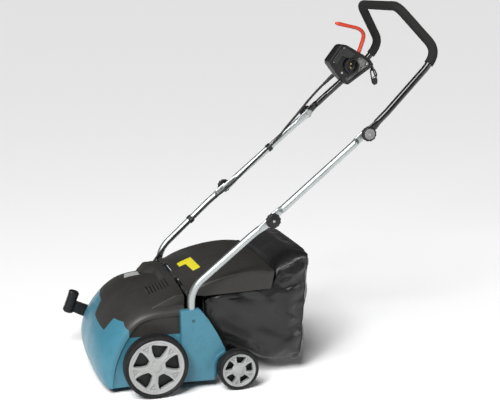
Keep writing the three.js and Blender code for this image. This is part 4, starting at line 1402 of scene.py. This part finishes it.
def reach_of(x, z):
    """How far, in millimetres, the cloth may move: little at the mouth and under the flap."""
    sides, rear = 2.3 * wave_between(160, 200, x), 5.5 * wave_between(345, 375, x)
    return 1.2 + sides + rear - 1.5 * wave_between(45, 30, z)


def settle(made):
    """Lets slack cloth, filled a little by air and held at its mouth, settle within its reach."""
    rest = np.array([v.co for v in made.data.vertices])
    held = made.vertex_groups.new(name="held")
    slack = made.vertex_groups.new(name="slack")
    for vert in made.data.vertices:
        x = (vert.co.x - AXLE_X) / MM
        held.add([vert.index], 1 - wave_between(152, 172, x), "REPLACE")
        slack.add([vert.index], 0.5 + 0.5 * noise.noise(vert.co * 14), "REPLACE")
    cloth = made.modifiers.new("cloth", "CLOTH")
    settings = cloth.settings
    settings.vertex_group_mass = held.name
    settings.use_pressure = True
    settings.uniform_pressure_force = 3.5
    settings.vertex_group_shrink = slack.name
    settings.shrink_min = -0.012
    settings.shrink_max = -0.05
    settings.effector_weights.gravity = 0
    settings.quality = 6
    settings.bending_stiffness = 0.35
    cloth.collision_settings.use_collision = False
    cloth.point_cache.frame_end = CLOTH_STEPS
    for step in range(1, CLOTH_STEPS + 1):
        bpy.context.scene.frame_set(step)
    moved = made.evaluated_get(bpy.context.evaluated_depsgraph_get())
    now = np.array([v.co for v in moved.data.vertices])
    made.modifiers.remove(cloth)
    bpy.context.scene.frame_set(1)
    made.vertex_groups.clear()
    for vert, old, new in zip(made.data.vertices, rest, now):
        move = Vector(new - old)
        limit = reach_of((old[0] - AXLE_X) / MM, old[2] / MM) * MM
        if move.length > 1e-9:
            move *= limit * math.tanh(move.length / limit) / move.length
        vert.co = Vector(old) + move


def drape(made):
    """The sewn cloth with an even mesh, settled and smoothed."""
    remesh = made.modifiers.new("even", "REMESH")
    remesh.mode = "VOXEL"
    remesh.voxel_size = BAG_VOXEL * MM
    made = baked(made, 60)
    settle(made)
    smooth = made.modifiers.new("smooth", "SUBSURF")
    smooth.levels = smooth.render_levels = 1
    return baked(made, 60)


def clear_of_flap(made):
    """Keeps the cloth under the flap and inside its skirts."""
    for vert in made.data.vertices:
        x, y, z = (vert.co.x - AXLE_X) / MM, vert.co.y / MM, vert.co.z / MM
        if x > 346:
            continue
        roof = flap_height(max(x, FLAP_FRONT), min(max(y, -FLAP_HALF), FLAP_HALF)) - 4.6
        ease = 1 - wave_between(341, 346, x)
        if z > 225:
            y = math.copysign(min(abs(y), 180.6 + 4 * (1 - ease)), y)
        z = min(z, roof) * ease + z * (1 - ease)
        vert.co.y, vert.co.z = y * MM, z * MM


def open_mouth(made):
    """Cuts the front off the closed form and gives the cloth its thickness."""
    work = bmesh.new()
    work.from_mesh(made.data)
    bmesh.ops.bisect_plane(work, geom=everything(work), plane_co=at(BAG_MOUTH, 0, 0), plane_no=(1, 0, 0),
                           clear_inner=True)
    work.to_mesh(made.data)
    work.free()
    return baked(thickened(made, BAG_WALL), 60)


def bag_binding(made):
    """The sewn tape round the mouth."""
    rim = [v.co.copy() for v in made.data.vertices if v.co.x < AXLE_X + (BAG_MOUTH + 0.3) * MM]
    middle = sum(rim, Vector()) / len(rim)

    def turn_of(point):
        return math.atan2(point.z - middle.z, point.y - middle.y)
    rim.sort(key=turn_of)
    picked = []
    for k in range(160):
        turn = 2 * math.pi * k / 160 - math.pi
        picked.append(min(rim, key=lambda p: abs(math.remainder(turn_of(p) - turn, 2 * math.pi))))
    rings = []
    for x, out in ((11, 0.2), (11, 1.3), (0, 1.5), (-1.2, 0.4), (-1.2, -1.8), (0, -2.9), (11, -2.7),
                   (11, -1.6), (11, 0.2)):
        ring = []
        for point in picked:
            away = Vector((0, point.y - middle.y, point.z - middle.z)).normalized()
            ring.append(point + away * out * MM + Vector((x * MM, 0, 0)))
        rings.append(ring)
    return piece("bag_mouth_tape", *skin(rings, closed_ends=False), CLOTH, 60)


def piping(made, name, points, radius):
    """A sewn welt laid on the cloth along the points."""
    line = []
    for point in even(catmull(points, 12), 4):
        _, place, normal, _ = made.closest_point_on_mesh(point)
        line.append(place + normal * 0.4 * MM)
    return round_bar(name, line, radius, CLOTH, 10, 0.5)


def bag_welts(made):
    """The welts along the bag's side, rear and top edges."""
    bpy.context.view_layer.update()
    welts = []
    for side in (-1, 1):
        for name, radius, points in (
                ("side_welt", 1.3, ((350, 176, 292), (372, 175, 303), (396, 175, 311), (418, 173, 321),
                                    (431, 167, 326))),
                ("rear_welt", 1.2, ((433, 168, 322), (433, 171, 260), (431, 173, 190), (424, 174, 110),
                                    (416, 175, 52)))):
            welts.append(piping(made, name, [at(x, side * y, z) for x, y, z in points], radius))
    across = [at(435, -166, 324), at(436, -90, 332), at(436, 0, 334), at(436, 90, 332), at(435, 166, 324)]
    return joined("bag_welts", [*welts, piping(made, "top_welt", across, 1.3)])


bag = drape(bag_form())
clear_of_flap(bag)
welts = bag_welts(bag)
bag = open_mouth(bag)
fit(bag, "bag", "bag_cloth", "collection_bag")
fit(bag_binding(bag), "bag", "bag_cloth")
fit(welts, "bag", "bag_cloth")


# ---- Looks of the carried-over parts ----
CARRIED = (
    (STEEL, ("rotor_shaft", "tine_reel", "bearing", "rear_axle", "depth_axle", "pivot_pin", "bolt")),
    (TYRE, ("flap_hinge_rod", "flap_spring", "bag_frame")),
    (BRASS, ("inlet_pins",)),
    (CABLE, ("drive_belt",)),
    (MID_GREY, ("motor_body", "microswitch")),
    (DARK_GREY, ("pulley",)),
)
for name, node in frame["nodes"].items():
    for material, words in CARRIED:
        if any(word in name for word in words):
            node.data.materials.clear()
            node.data.materials.append(material)
